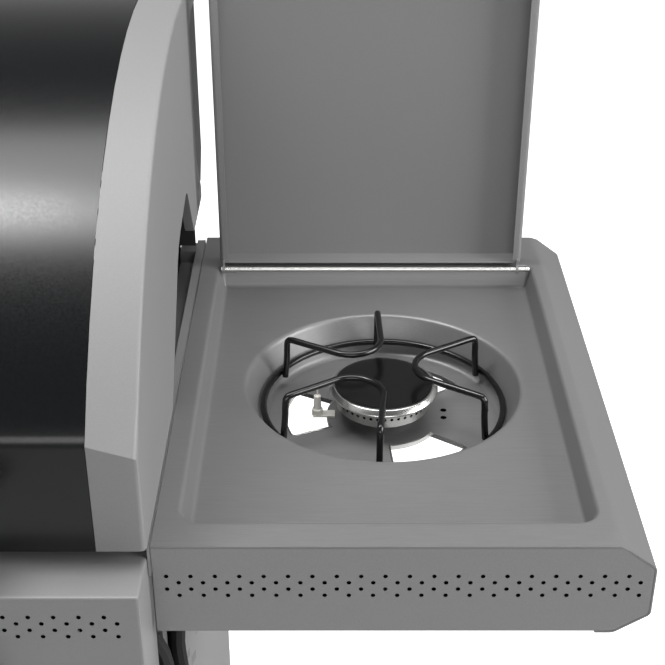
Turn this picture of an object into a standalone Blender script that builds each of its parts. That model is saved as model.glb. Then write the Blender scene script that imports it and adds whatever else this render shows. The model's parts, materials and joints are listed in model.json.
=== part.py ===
"""A cart gas barbecue grill: hood, firebox, cabinet on casters, and a side shelf with a sunken ring burner.

Metres, +Z up, +Y to the back. Shapes are given in the grill's own measures: x from the middle of the body,
y back from the side shelves' front edge, z up from the side shelves' top. finish() moves them to the frame,
whose origin is on the floor below the middle of the whole grill.
"""

import math

import bmesh
import bpy
from mathutils import Matrix, Vector

# ---- Overall sizes -----------------------------------------------------------------------------------
BODY_W = 0.640  # over the hood's two end caps
SHELF_TOP = 0.880  # shelf top above the floor
SHELF_W = 0.373
SHELF_D = 0.514
SHELF_GAP = 0.002  # between the body's side and a shelf
GAP = 0.0003  # between pieces that touch
SHEET = 0.0015

# ---- Hood --------------------------------------------------------------------------------------------
HOOD_FRONT = -0.007
HOOD_BACK = 0.543
HOOD_R = 0.5065  # radius of the curved skin
CROWN_Y = 0.392
CROWN_Z = 0.2875
HOOD_BOTTOM = 0.001
SKIN_T = 0.0012
CAP_W = 0.0364  # width of an end cap's front band
CAP_T = 0.002
CAP_DROP = 0.006  # how far the band falls towards its outer edge
CAP_ROUND = 0.0040
CAP_FLANGE = 0.009
STEP_Z = 0.250  # underside of the end cap's rear overhang
REAR_EDGE = 0.469  # rear edge of the end cap below the overhang
FOOT_Z = 0.054
FOOT_FRONT = 0.416
PIVOT_Y = 0.478
PIVOT_Z = 0.075
PIN_R = 0.004
PIN_CLEARANCE = 0.0003

# ---- Handle and thermometer --------------------------------------------------------------------------
HANDLE_Y = -0.062
HANDLE_Z = 0.045
HANDLE_R = 0.010
HANDLE_HALF = 0.215
BRACKET_X = 0.200
BRACKET_W = 0.014
DIAL_R = 0.031
DIAL_H = 0.012
DIAL_Y = 0.060

# ---- Shelves and the side burner ---------------------------------------------------------------------
FASCIA_H = 0.083
SLOPE_W = 0.027  # width of the shelf's sloped outer edge
SLOPE_TOP = 0.0205  # how far that edge falls
SLOPE_BOTTOM = 0.018  # how far the rim's lower corner rises
SLOPE_R = 0.010  # bend between the top and the slope
EDGE_R = 0.006  # bends at the outer edge
LIP_W = 0.010
WELL_IN = 0.0187  # shelf edge to well rim, at the body's side
WELL_OUT = 0.0397
WELL_FRONT = 0.030
WELL_BACK = 0.0655
WELL_DEPTH = 0.022
WELL_DRAFT = 0.005
WELL_R = 0.016
WELL_BACK_R = 0.006
LEFT_WELL_DEPTH = 0.008
BOWL_X = 0.179  # from the shelf's inner edge
BOWL_Y = 0.262
BOWL_R = 0.122
BOWL_DEPTH = 0.036
BOWL_TAPER = 0.018  # how much smaller the bowl is at its floor
VENT_IN = 0.052
VENT_TO_WALL = 0.016
VENT_ANGLE = 50
VENT_MIDDLES = (60, 178, 300)
STEM_R = 0.018
CUP_R = 0.038
PORT_R = 0.043
CAP_DISC_R = 0.0495
CAP_BEVEL = 0.0055
CAP_DISC_Z = -0.023
CAP_DISC_H = 0.0065
PORT_H = 0.013
RING_TO_WALL = 0.0130  # pan support's ring inside the bowl's rim
RING_Z = -0.044
POST_IN_RING = 0.0055
POST_LEAN = 0.0025
ARM_TOP = -0.0025
ARM_IN = 0.026
WIRE_R = 0.003
ELECTRODE_X = -0.060
HOSE_R = 0.0065

# ---- Side lid ----------------------------------------------------------------------------------------
LID_W = 0.3035
LID_IN = 0.0193  # shelf edge to lid
LID_T = 0.0235
LID_LIP = 0.008
LID_BOTTOM = 0.0035
LID_CLEAR = 0.004  # closed lid's front to the well's front rim
ROD_R = 0.0025
ROD_Z = -0.0007
ROD_TO_RIM = 0.0065
ROD_TO_LID = 0.003
EAR_R = 0.0042
EAR_T = 0.002
EAR_IN = 0.0024

# ---- Control panel -----------------------------------------------------------------------------------
PANEL_FRONT = -0.0445
PANEL_BACK = 0.018
PANEL_TOP = -0.010
PANEL_H = 0.140
PANEL_SIDE = 0.0014  # the panel is this much narrower than the hood, each side
KNOB_Z = -0.088
KNOB_PITCH = 0.130
KNOB_R = 0.024
KNOB_L = 0.028
STEM_HOLE_R = 0.006
STALK_R = 0.004
BUTTON_X = -0.270
BUTTON_R = 0.009
BUTTON_TRAVEL = 0.004
MANIFOLD_R = 0.009
MANIFOLD_Y = -0.004
VALVE_R = 0.008
VALVE_Y = -0.026

# ---- Firebox -----------------------------------------------------------------------------------------
BOX_IN = 0.030  # firebox inside the body's side
BOX_FRONT = 0.022
BOX_BACK = 0.470
BOX_TOP = -0.004
BOX_KNEE = -0.120
BOX_BOTTOM = -0.190
BOX_TAPER = 0.110
BOX_T = 0.002
END_IN = 0.0285  # end plate's inner face inside the body's side
END_T = 0.0015
LEDGE = 0.010
LEDGE_Z = -0.036
GRATE_H = 0.012
GRATE_BARS = 11
BAR_W = 0.008
BURNER_R = 0.013
BURNER_PITCH = 0.190
TAMER_HALF = 0.038
TAMER_TOP = -0.052
TAMER_H = 0.024
RACK_Z = 0.085
TRAY_HALF = 0.150
TRAY_TOP = -0.196
TRAY_H = 0.026

# ---- Cart --------------------------------------------------------------------------------------------
CART_BACK = 0.545
CART_TOP = -0.226  # top of the side and back panels
POST = 0.020
POST_FRONT = 0.060
POST_IN = 0.004  # post to side panel plane
RAIL_H = 0.027
RAIL_T = 0.0019
RAIL_W = 0.0083
CASTER_TOP = 0.015  # bottom shelf above the wheels
BASE_H = 0.022
DOOR_T = 0.018
WHEEL_R = 0.035
WHEEL_W = 0.022
CASTER_X = 0.275
CASTER_FRONT = 0.070
CASTER_BACK = 0.480
TRAIL = 0.020
AXLE_R = 0.004

# ---- Worked out from those ---------------------------------------------------------------------------
HALF = BODY_W / 2
BOX_HALF = HALF - BOX_IN
END_X = HALF - END_IN
MANIFOLD_HALF = BOX_HALF - 0.005
BASE_Z = 2 * WHEEL_R + CASTER_TOP
BOWL_FLOOR_R = BOWL_R - BOWL_TAPER
VENT_OUT = BOWL_FLOOR_R - VENT_TO_WALL
RING_R = BOWL_R - RING_TO_WALL
SHELF_X = HALF + SHELF_GAP
KNOB_FRONT = PANEL_FRONT - GAP - KNOB_L
Y_MID = (KNOB_FRONT + CART_BACK) / 2
FLOOR = -SHELF_TOP
PANEL_HALF = HALF - PANEL_SIDE
PANEL_BOTTOM = PANEL_TOP - PANEL_H
BASE_TOP = FLOOR + BASE_Z + BASE_H
CENTRE_Z = CROWN_Z - HOOD_R
SKIN_HALF = HALF - CAP_W
WELL_Y1 = SHELF_D - WELL_BACK
ROD_Y = WELL_Y1 - ROD_TO_RIM
LID_FRONT = ROD_Y + ROD_TO_LID
LID_LENGTH = ROD_Y - ROD_Z - LID_BOTTOM - WELL_FRONT - LID_CLEAR
WELL_FLOOR = -WELL_DEPTH
BOWL_FLOOR = WELL_FLOOR - BOWL_DEPTH
BURNER_X = SHELF_X + BOWL_X
PORT_TOP = CAP_DISC_Z - CAP_DISC_H - GAP
PORT_BOTTOM = PORT_TOP - PORT_H
STEM_BOTTOM = BOWL_FLOOR - 0.028
KNOB_XS = [(i - 1.5) * KNOB_PITCH for i in range(4)]


def srgb(value):
    """A hex colour as linear red, green, blue and alpha."""
    parts = [int(value[i : i + 2], 16) / 255 for i in (0, 2, 4)]
    return [c / 12.92 if c <= 0.04045 else ((c + 0.055) / 1.055) ** 2.4 for c in parts] + [1]


def material(name, colour, roughness, metallic):
    made = bpy.data.materials.new(name)
    made.use_nodes = True
    shader = made.node_tree.nodes["Principled BSDF"]
    shader.inputs["Base Color"].default_value = srgb(colour)
    shader.inputs["Roughness"].default_value = roughness
    shader.inputs["Metallic"].default_value = metallic
    return made


def clear_scene():
    for old in list(bpy.data.objects):
        bpy.data.objects.remove(old, do_unlink=True)


def collection(name):
    made = bpy.data.collections.new(name)
    bpy.context.scene.collection.children.link(made)
    return made


clear_scene()
GRILL = collection("gas_barbecue_grill")
CUTTERS = collection("cutters")
CUTTERS.hide_render = True

ENAMEL = material("black_enamel", "26272a", 0.25, 0.0)
COAT = material("silver_coat", "a4a4a3", 0.45, 0.3)
STEEL = material("stainless_steel", "9c9c9a", 0.35, 0.9)
IRON = material("cast_iron", "2b2a29", 0.7, 0.3)
DARK = material("dark_coat", "3c3d3f", 0.5, 0.2)
ALUMINIUM = material("aluminium", "b9b9b6", 0.4, 1.0)
CHROME = material("chrome", "d0d0d0", 0.12, 1.0)
PLASTIC = material("grey_plastic", "6d6e70", 0.4, 0.0)
RUBBER = material("rubber", "1b1b1c", 0.8, 0.0)
CERAMIC = material("ceramic", "dcdad2", 0.3, 0.0)


# ---- Shapes: each returns a closed mesh in the grill's measures --------------------------------------


def mesh_of(bm):
    bmesh.ops.remove_doubles(bm, verts=bm.verts, dist=1e-6)
    mesh = bpy.data.meshes.new("shape")
    bm.to_mesh(mesh)
    bm.free()
    return mesh


def joined(meshes):
    """Several closed meshes in one."""
    bm = bmesh.new()
    for mesh in meshes:
        bm.from_mesh(mesh)
    made = bpy.data.meshes.new("shape")
    bm.to_mesh(made)
    bm.free()
    return made


def block(x, y, z, bevel=0.0):
    """A box between pairs of limits, its edges rounded by bevel."""
    bm = bmesh.new()
    bmesh.ops.create_cube(bm, size=1)
    size = Vector((x[1] - x[0], y[1] - y[0], z[1] - z[0]))
    middle = Vector((sum(x), sum(y), sum(z))) / 2
    bmesh.ops.transform(bm, verts=bm.verts, matrix=Matrix.Translation(middle) @ Matrix.Diagonal((*size, 1)))
    if bevel:
        bmesh.ops.bevel(bm, geom=bm.edges[:], offset=bevel, segments=2, affect="EDGES", profile=0.5)
    return mesh_of(bm)


AXIS_TURNS = {
    "x": Matrix.Rotation(math.radians(90), 4, "Y"),
    "y": Matrix.Rotation(math.radians(-90), 4, "X"),
    "z": Matrix.Identity(4),
}


def rod(axis, centre, radius, length, sides=24, taper=1.0):
    """A round bar centred on a point along an axis; taper is its far end's share of the radius."""
    bm = bmesh.new()
    bmesh.ops.create_cone(
        bm, cap_ends=True, segments=sides, radius1=radius, radius2=radius * taper, depth=length
    )
    bmesh.ops.transform(bm, verts=bm.verts, matrix=Matrix.Translation(centre) @ AXIS_TURNS[axis])
    return mesh_of(bm)


def evaluated(obj):
    """The mesh that an object's curve or modifiers make, with loose caps welded. The object is removed."""
    graph = bpy.context.evaluated_depsgraph_get()
    mesh = bpy.data.meshes.new_from_object(obj.evaluated_get(graph))
    mesh.transform(obj.matrix_world)
    bpy.data.objects.remove(obj, do_unlink=True)
    bm = bmesh.new()
    bm.from_mesh(mesh)
    bmesh.ops.remove_doubles(bm, verts=bm.verts, dist=1e-6)
    bmesh.ops.recalc_face_normals(bm, faces=bm.faces)
    bm.to_mesh(mesh)
    bm.free()
    return mesh


def turned(profile, centre, steps=48, axis="z"):
    """A profile of (radius, height) run round an axis through centre."""
    bm = bmesh.new()
    points = [bm.verts.new((r, 0, h)) for r, h in profile]
    for a, b in zip(points, points[1:]):
        bm.edges.new((a, b))
    mesh = bpy.data.meshes.new("profile")
    bm.to_mesh(mesh)
    bm.free()
    obj = bpy.data.objects.new("profile", mesh)
    CUTTERS.objects.link(obj)
    screw = obj.modifiers.new("Screw", "SCREW")
    screw.steps = steps
    screw.render_steps = steps
    screw.use_merge_vertices = True
    screw.merge_threshold = 0.00001
    obj.matrix_world = Matrix.Translation(centre) @ AXIS_TURNS[axis]
    bpy.context.view_layer.update()
    return evaluated(obj)


def wire(points, radius, closed=False, resolution=2):
    """A round wire or tube along points."""
    curve = bpy.data.curves.new("wire", "CURVE")
    curve.dimensions = "3D"
    curve.bevel_depth = radius
    curve.bevel_resolution = resolution
    curve.use_fill_caps = not closed
    spline = curve.splines.new("POLY")
    spline.points.add(len(points) - 1)
    for point, place in zip(spline.points, points):
        point.co = (*place, 1)
    spline.use_cyclic_u = closed
    obj = bpy.data.objects.new("wire", curve)
    CUTTERS.objects.link(obj)
    bpy.context.view_layer.update()
    return evaluated(obj)


PLANES = {
    "x": lambda a, b, c: (c, a, b),
    "y": lambda a, b, c: (a, c, b),
    "z": lambda a, b, c: (a, b, c),
}


def plate(outline, axis, lo, hi):
    """A flat outline extruded along an axis from lo to hi."""
    curve = bpy.data.curves.new("outline", "CURVE")
    curve.dimensions = "2D"
    curve.fill_mode = "BOTH"
    curve.extrude = (hi - lo) / 2
    spline = curve.splines.new("POLY")
    spline.points.add(len(outline) - 1)
    for point, (a, b) in zip(spline.points, outline):
        point.co = (a, b, 0, 1)
    spline.use_cyclic_u = True
    obj = bpy.data.objects.new("outline", curve)
    CUTTERS.objects.link(obj)
    bpy.context.view_layer.update()
    mesh = evaluated(obj)
    place = PLANES[axis]
    bm = bmesh.new()
    bm.from_mesh(mesh)
    for vert in bm.verts:
        vert.co = place(vert.co.x, vert.co.y, vert.co.z + (lo + hi) / 2)
    bm.normal_update()
    bmesh.ops.recalc_face_normals(bm, faces=bm.faces)
    bm.to_mesh(mesh)
    bm.free()
    return mesh


def rounded(corners, step=18):
    """An outline through (a, b, radius) corners, each rounded by its radius."""
    points = []
    for i, (a, b, radius) in enumerate(corners):
        corner = Vector((a, b))
        before = (Vector(corners[i - 1][:2]) - corner).normalized()
        after = (Vector(corners[(i + 1) % len(corners)][:2]) - corner).normalized()
        turn = math.pi - before.angle(after)
        if radius == 0 or turn < 0.01:
            points.append((a, b))
            continue
        reach = radius * math.tan(turn / 2)
        centre = corner + (before + after).normalized() * (radius / math.cos(turn / 2))
        start = corner + before * reach - centre
        side = 1 if before.x * after.y - before.y * after.x < 0 else -1
        count = max(1, round(math.degrees(turn) / step))
        for k in range(count + 1):
            angle = side * turn * k / count
            points.append(
                (
                    centre.x + start.x * math.cos(angle) - start.y * math.sin(angle),
                    centre.y + start.x * math.sin(angle) + start.y * math.cos(angle),
                )
            )
    return points


def loft(rings):
    """A closed solid through rings of points that all have the same count, lowest ring first."""
    bm = bmesh.new()
    rows = [[bm.verts.new(point) for point in ring] for ring in rings]
    count = len(rows[0])
    for low, high in zip(rows, rows[1:]):
        for i in range(count):
            j = (i + 1) % count
            bm.faces.new((low[i], low[j], high[j], high[i]))
    bm.faces.new(rows[0][::-1])
    bm.faces.new(rows[-1])
    bmesh.ops.recalc_face_normals(bm, faces=bm.faces)
    return mesh_of(bm)


def solidified(bm, thickness):
    """An open surface given a thickness on its inner side."""
    mesh = bpy.data.meshes.new("surface")
    bm.to_mesh(mesh)
    bm.free()
    obj = bpy.data.objects.new("surface", mesh)
    CUTTERS.objects.link(obj)
    solidify = obj.modifiers.new("Solidify", "SOLIDIFY")
    solidify.thickness = thickness
    solidify.offset = -1
    solidify.solidify_mode = "NON_MANIFOLD"
    solidify.nonmanifold_thickness_mode = "CONSTRAINTS"
    bpy.context.view_layer.update()
    return evaluated(obj)


def mirrored(mesh, sign):
    """A copy on the right for sign 1, or on the left for sign -1."""
    made = mesh.copy()
    if sign < 0:
        made.transform(Matrix.Diagonal((-1, 1, 1, 1)))
        made.flip_normals()
    return made


# ---- Nodes -------------------------------------------------------------------------------------------


def helper(mesh, name):
    obj = bpy.data.objects.new(name, mesh)
    obj.display_type = "WIRE"
    obj.hide_render = True
    CUTTERS.objects.link(obj)
    mesh.transform(Matrix.Translation((0, -Y_MID, SHELF_TOP)))
    return obj


def finish(name, mesh, look, joins=(), cuts=(), origin=(0, 0, 0), angle=30):
    """The named piece: shapes joined to its mesh and cut from it, its origin at a point of its joint."""
    place = Vector(origin) + Vector((0, -Y_MID, SHELF_TOP))
    mesh.transform(Matrix.Translation(-Vector(origin)))
    mesh.name = name
    mesh.materials.clear()
    mesh.materials.append(look)
    mesh.shade_smooth()
    mesh.set_sharp_from_angle(angle=math.radians(angle))
    obj = bpy.data.objects.new(name, mesh)
    obj.location = place
    GRILL.objects.link(obj)
    for operation, shapes in (("UNION", joins), ("DIFFERENCE", cuts)):
        for i, shape in enumerate(shapes):
            tool = helper(shape, f"{name}_{operation.lower()}_{i}")
            boolean = obj.modifiers.new(tool.name, "BOOLEAN")
            boolean.operation = operation
            boolean.object = tool
    return obj


def hood_arc(inset=0.0, steps=14):
    """The hood's outer line in the y-z plane, from its front bottom over the crown to its back."""
    radius = HOOD_R - inset
    front = math.asin((HOOD_FRONT - CROWN_Y) / radius)
    back = math.asin((HOOD_BACK - CROWN_Y) / radius)
    points = [(HOOD_FRONT, HOOD_BOTTOM)]
    for i in range(steps + 1):
        angle = front + (back - front) * i / steps
        points.append((CROWN_Y + radius * math.sin(angle), CENTRE_Z + radius * math.cos(angle)))
    return points


def make_hood_skin():
    line = hood_arc(steps=20)
    bm = bmesh.new()
    reach = SKIN_HALF - GAP
    left = [bm.verts.new((-reach, y, z)) for y, z in line]
    right = [bm.verts.new((reach, y, z)) for y, z in line]
    for i in range(len(line) - 1):
        bm.faces.new((left[i], right[i], right[i + 1], left[i + 1]))
    finish("hood_skin", solidified(bm, SKIN_T), ENAMEL, angle=20)


def end_cap_outline(inset=0.0, side_inset=0.0):
    """The end cap's edge, in order: the band's stretch, then the rear edge, foot and arch."""
    band = hood_arc(inset)
    band = [(y + side_inset if i == 0 else y, z) for i, (y, z) in enumerate(band)]
    band[1] = (band[1][0] + side_inset, band[1][1])
    band.append((HOOD_BACK, STEP_Z))
    rest = rounded(
        [
            (REAR_EDGE + 0.020, STEP_Z, 0),
            (REAR_EDGE, STEP_Z - 0.012, 0),
            (REAR_EDGE, FOOT_Z + 0.055, 0.030),
            (PIVOT_Y + 0.0215, FOOT_Z + 0.012, 0.006),
            (PIVOT_Y + 0.0205, FOOT_Z, 0),
            (FOOT_FRONT, FOOT_Z, 0.006),
            (CROWN_Y - 0.018, 0.118, 0.020),
            (CROWN_Y - 0.104, 0.103, 0.060),
            (HOOD_FRONT + 0.188, HOOD_BOTTOM, 0),
        ]
    )
    return band, rest


def make_end_cap(side, sign):
    """A pressed end cap: front band, rounded edge, side face with its arch, and turned-in flanges."""
    inner, rest = end_cap_outline()
    ridge, _ = end_cap_outline(CAP_DROP)
    corner, _ = end_cap_outline(CAP_DROP + CAP_ROUND * 0.3, CAP_ROUND * 0.3)
    face, _ = end_cap_outline(CAP_DROP + CAP_ROUND, CAP_ROUND)
    bm = bmesh.new()
    rows = [
        [bm.verts.new((x, y, z)) for y, z in line]
        for x, line in (
            (SKIN_HALF, inner),
            (HALF - CAP_ROUND, ridge),
            (HALF - CAP_ROUND * 0.3, corner),
            (HALF, face),
        )
    ]
    edge = [bm.verts.new((HALF, y, z)) for y, z in rest]
    turned_in = [bm.verts.new((HALF - CAP_FLANGE, y, z)) for y, z in rest]
    for low, high in zip(rows, rows[1:]):
        for i in range(len(low) - 1):
            bm.faces.new((low[i], high[i], high[i + 1], low[i + 1]))
    for i in range(len(edge) - 1):
        bm.faces.new((edge[i], turned_in[i], turned_in[i + 1], edge[i + 1]))
    bm.faces.new(rows[-1] + edge)
    bmesh.ops.recalc_face_normals(bm, faces=bm.faces)
    face = max(bm.faces, key=lambda f: len(f.verts))
    if face.normal.x < 0:
        bmesh.ops.reverse_faces(bm, faces=bm.faces)
    bmesh.ops.triangulate(bm, faces=bm.faces[:], ngon_method="BEAUTY")
    mesh = mirrored(solidified(bm, CAP_T), sign)
    pin_hole = rod("x", (sign * HALF, PIVOT_Y, PIVOT_Z), PIN_R + PIN_CLEARANCE, 4 * CAP_T, 16)
    cap = finish(f"hood_end_cap_{side}", mesh, COAT, cuts=[pin_hole], angle=25)
    cap.modifiers.new("Triangulate", "TRIANGULATE").ngon_method = "BEAUTY"


def make_hood_back():
    """The hood's back wall, with a return at each end behind the end cap."""
    y1 = HOOD_BACK - GAP
    y0 = y1 - SHEET
    reach = HALF - CAP_T - GAP
    middle = SKIN_HALF - GAP
    top = CENTRE_Z + math.sqrt(HOOD_R**2 - (HOOD_BACK - CROWN_Y) ** 2) - 4 * SKIN_T
    wall = block((-middle, middle), (y0, y1), (FOOT_Z + 0.010, top))
    wings = block((-reach, reach), (y0, y1), (FOOT_Z + 0.060, STEP_Z - CAP_T - GAP))
    returns = []
    for sign in (-1, 1):
        outline = rounded(
            [
                (REAR_EDGE + 0.001, STEP_Z - 0.014, 0),
                (REAR_EDGE + 0.001, FOOT_Z + 0.056, 0.030),
                (PIVOT_Y + 0.024, FOOT_Z + 0.014, 0),
                (PIVOT_Y + 0.042, FOOT_Z + 0.009, 0),
                (y1, FOOT_Z + 0.036, 0),
                (y1, STEP_Z - CAP_T - GAP, 0),
                (REAR_EDGE + 0.024, STEP_Z - CAP_T - GAP, 0),
            ]
        )
        inside, outside = sorted((sign * (reach - SHEET), sign * reach))
        returns.append(plate(outline, "x", inside, outside))
    finish("hood_back_panel", wall, DARK, joins=[wings, joined(returns)])


def make_handle():
    bar = rod("x", (0, HANDLE_Y, HANDLE_Z), HANDLE_R, 2 * HANDLE_HALF, 24)
    finish("handle_bar", bar, STEEL)
    for side, sign in (("left", -1), ("right", 1)):
        x = sign * BRACKET_X
        outline = rounded(
            [
                (HANDLE_Y - HANDLE_R * 0.2, HANDLE_Z - HANDLE_R - 0.006, 0.004),
                (HOOD_FRONT - GAP, HANDLE_Z - 0.028, 0),
                (HOOD_FRONT - GAP, HANDLE_Z + 0.020, 0),
                (HANDLE_Y - HANDLE_R * 0.2, HANDLE_Z + HANDLE_R + 0.006, 0.004),
            ]
        )
        arm = plate(outline, "x", x - BRACKET_W / 2, x + BRACKET_W / 2)
        seat = rod("x", (x, HANDLE_Y, HANDLE_Z), HANDLE_R + GAP, 2 * BRACKET_W)
        finish(f"handle_bracket_{side}", arm, CHROME, cuts=[seat])


def dial_frame():
    """The thermometer's place: its centre on the skin, and the turn that points it out of the curve."""
    lean = math.asin((DIAL_Y - CROWN_Y) / HOOD_R)
    outward = Vector((0, math.sin(lean), math.cos(lean)))
    centre = Vector((0, CROWN_Y, CENTRE_Z)) + outward * HOOD_R
    return centre, outward, Matrix.Rotation(-lean, 4, "X")


def make_thermometer():
    centre, outward, turn = dial_frame()
    wall = 0.003
    case = turned(
        [
            (0, 0.004),
            (DIAL_R - wall, 0.004),
            (DIAL_R - wall, DIAL_H),
            (DIAL_R - 0.0008, DIAL_H),
            (DIAL_R, DIAL_H - 0.002),
            (DIAL_R, 0.001),
            (DIAL_R - 0.002, 0),
            (0, 0),
        ],
        (0, 0, 0),
        24,
    )
    case.transform(Matrix.Translation(centre + outward * GAP) @ turn)
    finish("thermometer_case", case, CHROME)
    hub = rod("z", (0, 0, 0.0060), 0.0030, 0.0024, 12)
    blade = block((-0.0008, 0.0008), (-0.006, 0.021), (0.0055, 0.0065))
    for shape in (hub, blade):
        shape.transform(Matrix.Translation(centre + outward * GAP) @ turn)
    finish("thermometer_needle", hub, RUBBER, joins=[blade], origin=centre)


def make_hood():
    make_hood_skin()
    for side, sign in (("left", -1), ("right", 1)):
        make_end_cap(side, sign)
    make_hood_back()
    make_handle()
    make_thermometer()


# ---- Firebox and what is in it -----------------------------------------------------------------------


def trough(inset, top, bottom):
    """The firebox's solid, wide down to its knee and then tapering to its floor."""

    def ring(taper, z):
        return [
            (-BOX_HALF + inset, BOX_FRONT + taper + inset, z),
            (BOX_HALF - inset, BOX_FRONT + taper + inset, z),
            (BOX_HALF - inset, BOX_BACK - taper - inset, z),
            (-BOX_HALF + inset, BOX_BACK - taper - inset, z),
        ]

    return loft([ring(BOX_TAPER, bottom), ring(0, BOX_KNEE), ring(0, top)])


def make_firebox():
    inner = trough(BOX_T, BOX_TOP + 0.010, BOX_BOTTOM + BOX_T)
    drain = block((-0.060, 0.060), (0.200, 0.290), (BOX_BOTTOM - 0.01, BOX_BOTTOM + 0.01))
    inlets = joined(
        rod("y", (i * BURNER_PITCH, BOX_FRONT, KNOB_Z), BURNER_R + 0.001, 0.02) for i in (-1, 0, 1)
    )
    ledges = []
    for y0, y1 in (
        (BOX_FRONT + BOX_T / 2, BOX_FRONT + BOX_T + LEDGE),
        (BOX_BACK - BOX_T - LEDGE, BOX_BACK - BOX_T / 2),
    ):
        ledges.append(block((-BOX_HALF + 0.01, BOX_HALF - 0.01), (y0, y1), (LEDGE_Z - 0.003, LEDGE_Z)))
    runners = []
    for sign in (-1, 1):
        outer = sign * (TRAY_HALF + 0.003)
        for x, z in (
            ((outer, sign * (TRAY_HALF + 0.001)), (TRAY_TOP - TRAY_H - 0.003, BOX_BOTTOM + BOX_T / 2)),
            ((outer, sign * (TRAY_HALF - 0.010)), (TRAY_TOP - TRAY_H - 0.003, TRAY_TOP - TRAY_H - GAP)),
        ):
            runners.append(block(sorted(x), (BOX_FRONT + BOX_TAPER + 0.01, BOX_BACK - BOX_TAPER - 0.01), z))
    firebox = finish("firebox", trough(0, BOX_TOP, BOX_BOTTOM), ENAMEL, cuts=[inner, drain, inlets])
    add_joins(firebox, [joined(ledges), joined(runners[::2]), joined(runners[1::2])])


def add_joins(obj, shapes):
    """Shapes joined after the cuts, such as ledges inside a hollow."""
    for i, shape in enumerate(shapes):
        tool = helper(shape, f"{obj.name}_late_union_{i}")
        boolean = obj.modifiers.new(tool.name, "BOOLEAN")
        boolean.operation = "UNION"
        boolean.object = tool


def make_end_panels():
    """The firebox's end plates: each rises inside an arch, carries a hinge pin and has a rear flange."""
    outline = rounded(
        [
            (BOX_FRONT + 0.080, BOX_BOTTOM, 0),
            (BOX_BACK - 0.080, BOX_BOTTOM, 0),
            (BOX_BACK, BOX_KNEE, 0),
            (PIVOT_Y + 0.020, -0.060, 0),
            (PIVOT_Y + 0.020, PIVOT_Z + 0.018, 0.016),
            (PIVOT_Y - 0.020, PIVOT_Z + 0.040, 0.020),
            (BOX_FRONT + 0.080, PIVOT_Z + 0.040, 0.060),
            (BOX_FRONT, PIVOT_Z - 0.045, 0.030),
            (BOX_FRONT, BOX_KNEE, 0),
        ]
    )
    for side, sign in (("left", -1), ("right", 1)):
        low, high = sorted((sign * END_X, sign * (END_X + END_T)))
        panel = plate(outline, "x", low, high)
        inside = END_X + END_T / 2
        tip = HALF - 0.0004
        pin = rod("x", (sign * (inside + tip) / 2, PIVOT_Y, PIVOT_Z), PIN_R, tip - inside)
        across = sorted((sign * inside, sign * (HALF - 0.0085)))
        narrow = sorted((sign * inside, sign * (END_X + 0.004)))
        rear = (PIVOT_Y + 0.0185, PIVOT_Y + 0.0199)
        flange = block(across, rear, (-0.0012, PIVOT_Z - 0.031))
        lower = block(narrow, rear, (-0.058, 0.001))
        finish(f"firebox_end_panel_{side}", panel, DARK, joins=[pin, flange, lower])


def make_grates():
    """Two cast-iron grates, side by side on the firebox's ledges."""
    z0 = LEDGE_Z + GAP
    z1 = z0 + GRATE_H
    y0 = BOX_FRONT + BOX_T + 0.002
    y1 = BOX_BACK - BOX_T - 0.002
    width = BOX_HALF - BOX_T - 0.003
    for side, x0 in (("left", -width), ("right", 0.0015)):
        x1 = x0 + width - 0.0015
        frame = block((x0, x1), (y0, y1), (z0, z1))
        opening = block((x0 + BAR_W, x1 - BAR_W), (y0 + BAR_W, y1 - BAR_W), (z0 - 0.01, z1 + 0.01))
        pitch = (x1 - x0 - BAR_W) / (GRATE_BARS + 1)
        bars = []
        for i in range(1, GRATE_BARS + 1):
            x = x0 + BAR_W / 2 + pitch * i
            bars.append(
                block(
                    (x - BAR_W / 2, x + BAR_W / 2),
                    (y0 + BAR_W / 2, y1 - BAR_W / 2),
                    (z0 + 0.002, z1 - 0.0004),
                )
            )
        middle = (y0 + y1) / 2
        cross = block((x0 + BAR_W / 2, x1 - BAR_W / 2), (middle - 0.004, middle + 0.004), (z0, z1 - 0.004))
        finish(f"grate_{side}", frame, IRON, cuts=[opening], origin=(x0, y0, z0))
        add_joins(bpy.data.objects[f"grate_{side}"], [joined(bars), cross])


def make_burners():
    """Tube burners from the manifold's outlets to the back of the firebox, and the tamers over them."""
    front = MANIFOLD_Y + MANIFOLD_R + 0.004
    back = BOX_BACK - 0.030
    for i in range(3):
        x = (i - 1) * BURNER_PITCH
        tube = rod("y", (x, (front + back) / 2, KNOB_Z), BURNER_R, back - front, 20)
        throat = rod("y", (x, front, KNOB_Z), BURNER_R - 0.002, 0.080, 16)
        finish(f"burner_{i + 1}", tube, STEEL, cuts=[throat])
        side = TAMER_HALF
        outline = [
            (x - side, TAMER_TOP - TAMER_H),
            (x - side - 0.0005, TAMER_TOP - TAMER_H + 0.001),
            (x, TAMER_TOP),
            (x + side + 0.0005, TAMER_TOP - TAMER_H + 0.001),
            (x + side, TAMER_TOP - TAMER_H),
            (x, TAMER_TOP - 0.002),
        ]
        tamer = plate(outline, "y", BOX_FRONT + BOX_T + 0.003, BOX_BACK - BOX_T - 0.003)
        finish(f"flame_tamer_{i + 1}", tamer, STEEL)


def make_warming_rack():
    """A wire rack between the end panels: two long rails, cross wires and bent-down ends."""
    reach = END_X - 0.002
    y0 = CROWN_Y - 0.070
    y1 = CROWN_Y + 0.060
    size = 0.005
    rails = [
        block((-reach, reach), (y, y + size), (RACK_Z, RACK_Z + size)) for y in (y0, (y0 + y1) / 2, y1)
    ]
    count = 15
    wires = []
    for i in range(count):
        x = -reach + 0.001 + (2 * reach - 0.002 - size * 0.8) * i / (count - 1)
        top = RACK_Z + size
        lengthwise = (y0 - 0.001, y1 + size + 0.001)
        wires.append(block((x, x + size * 0.8), lengthwise, (top - 0.0012, top + 0.0025)))
    finish("warming_rack", joined(rails), CHROME, joins=[joined(wires)])


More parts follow.
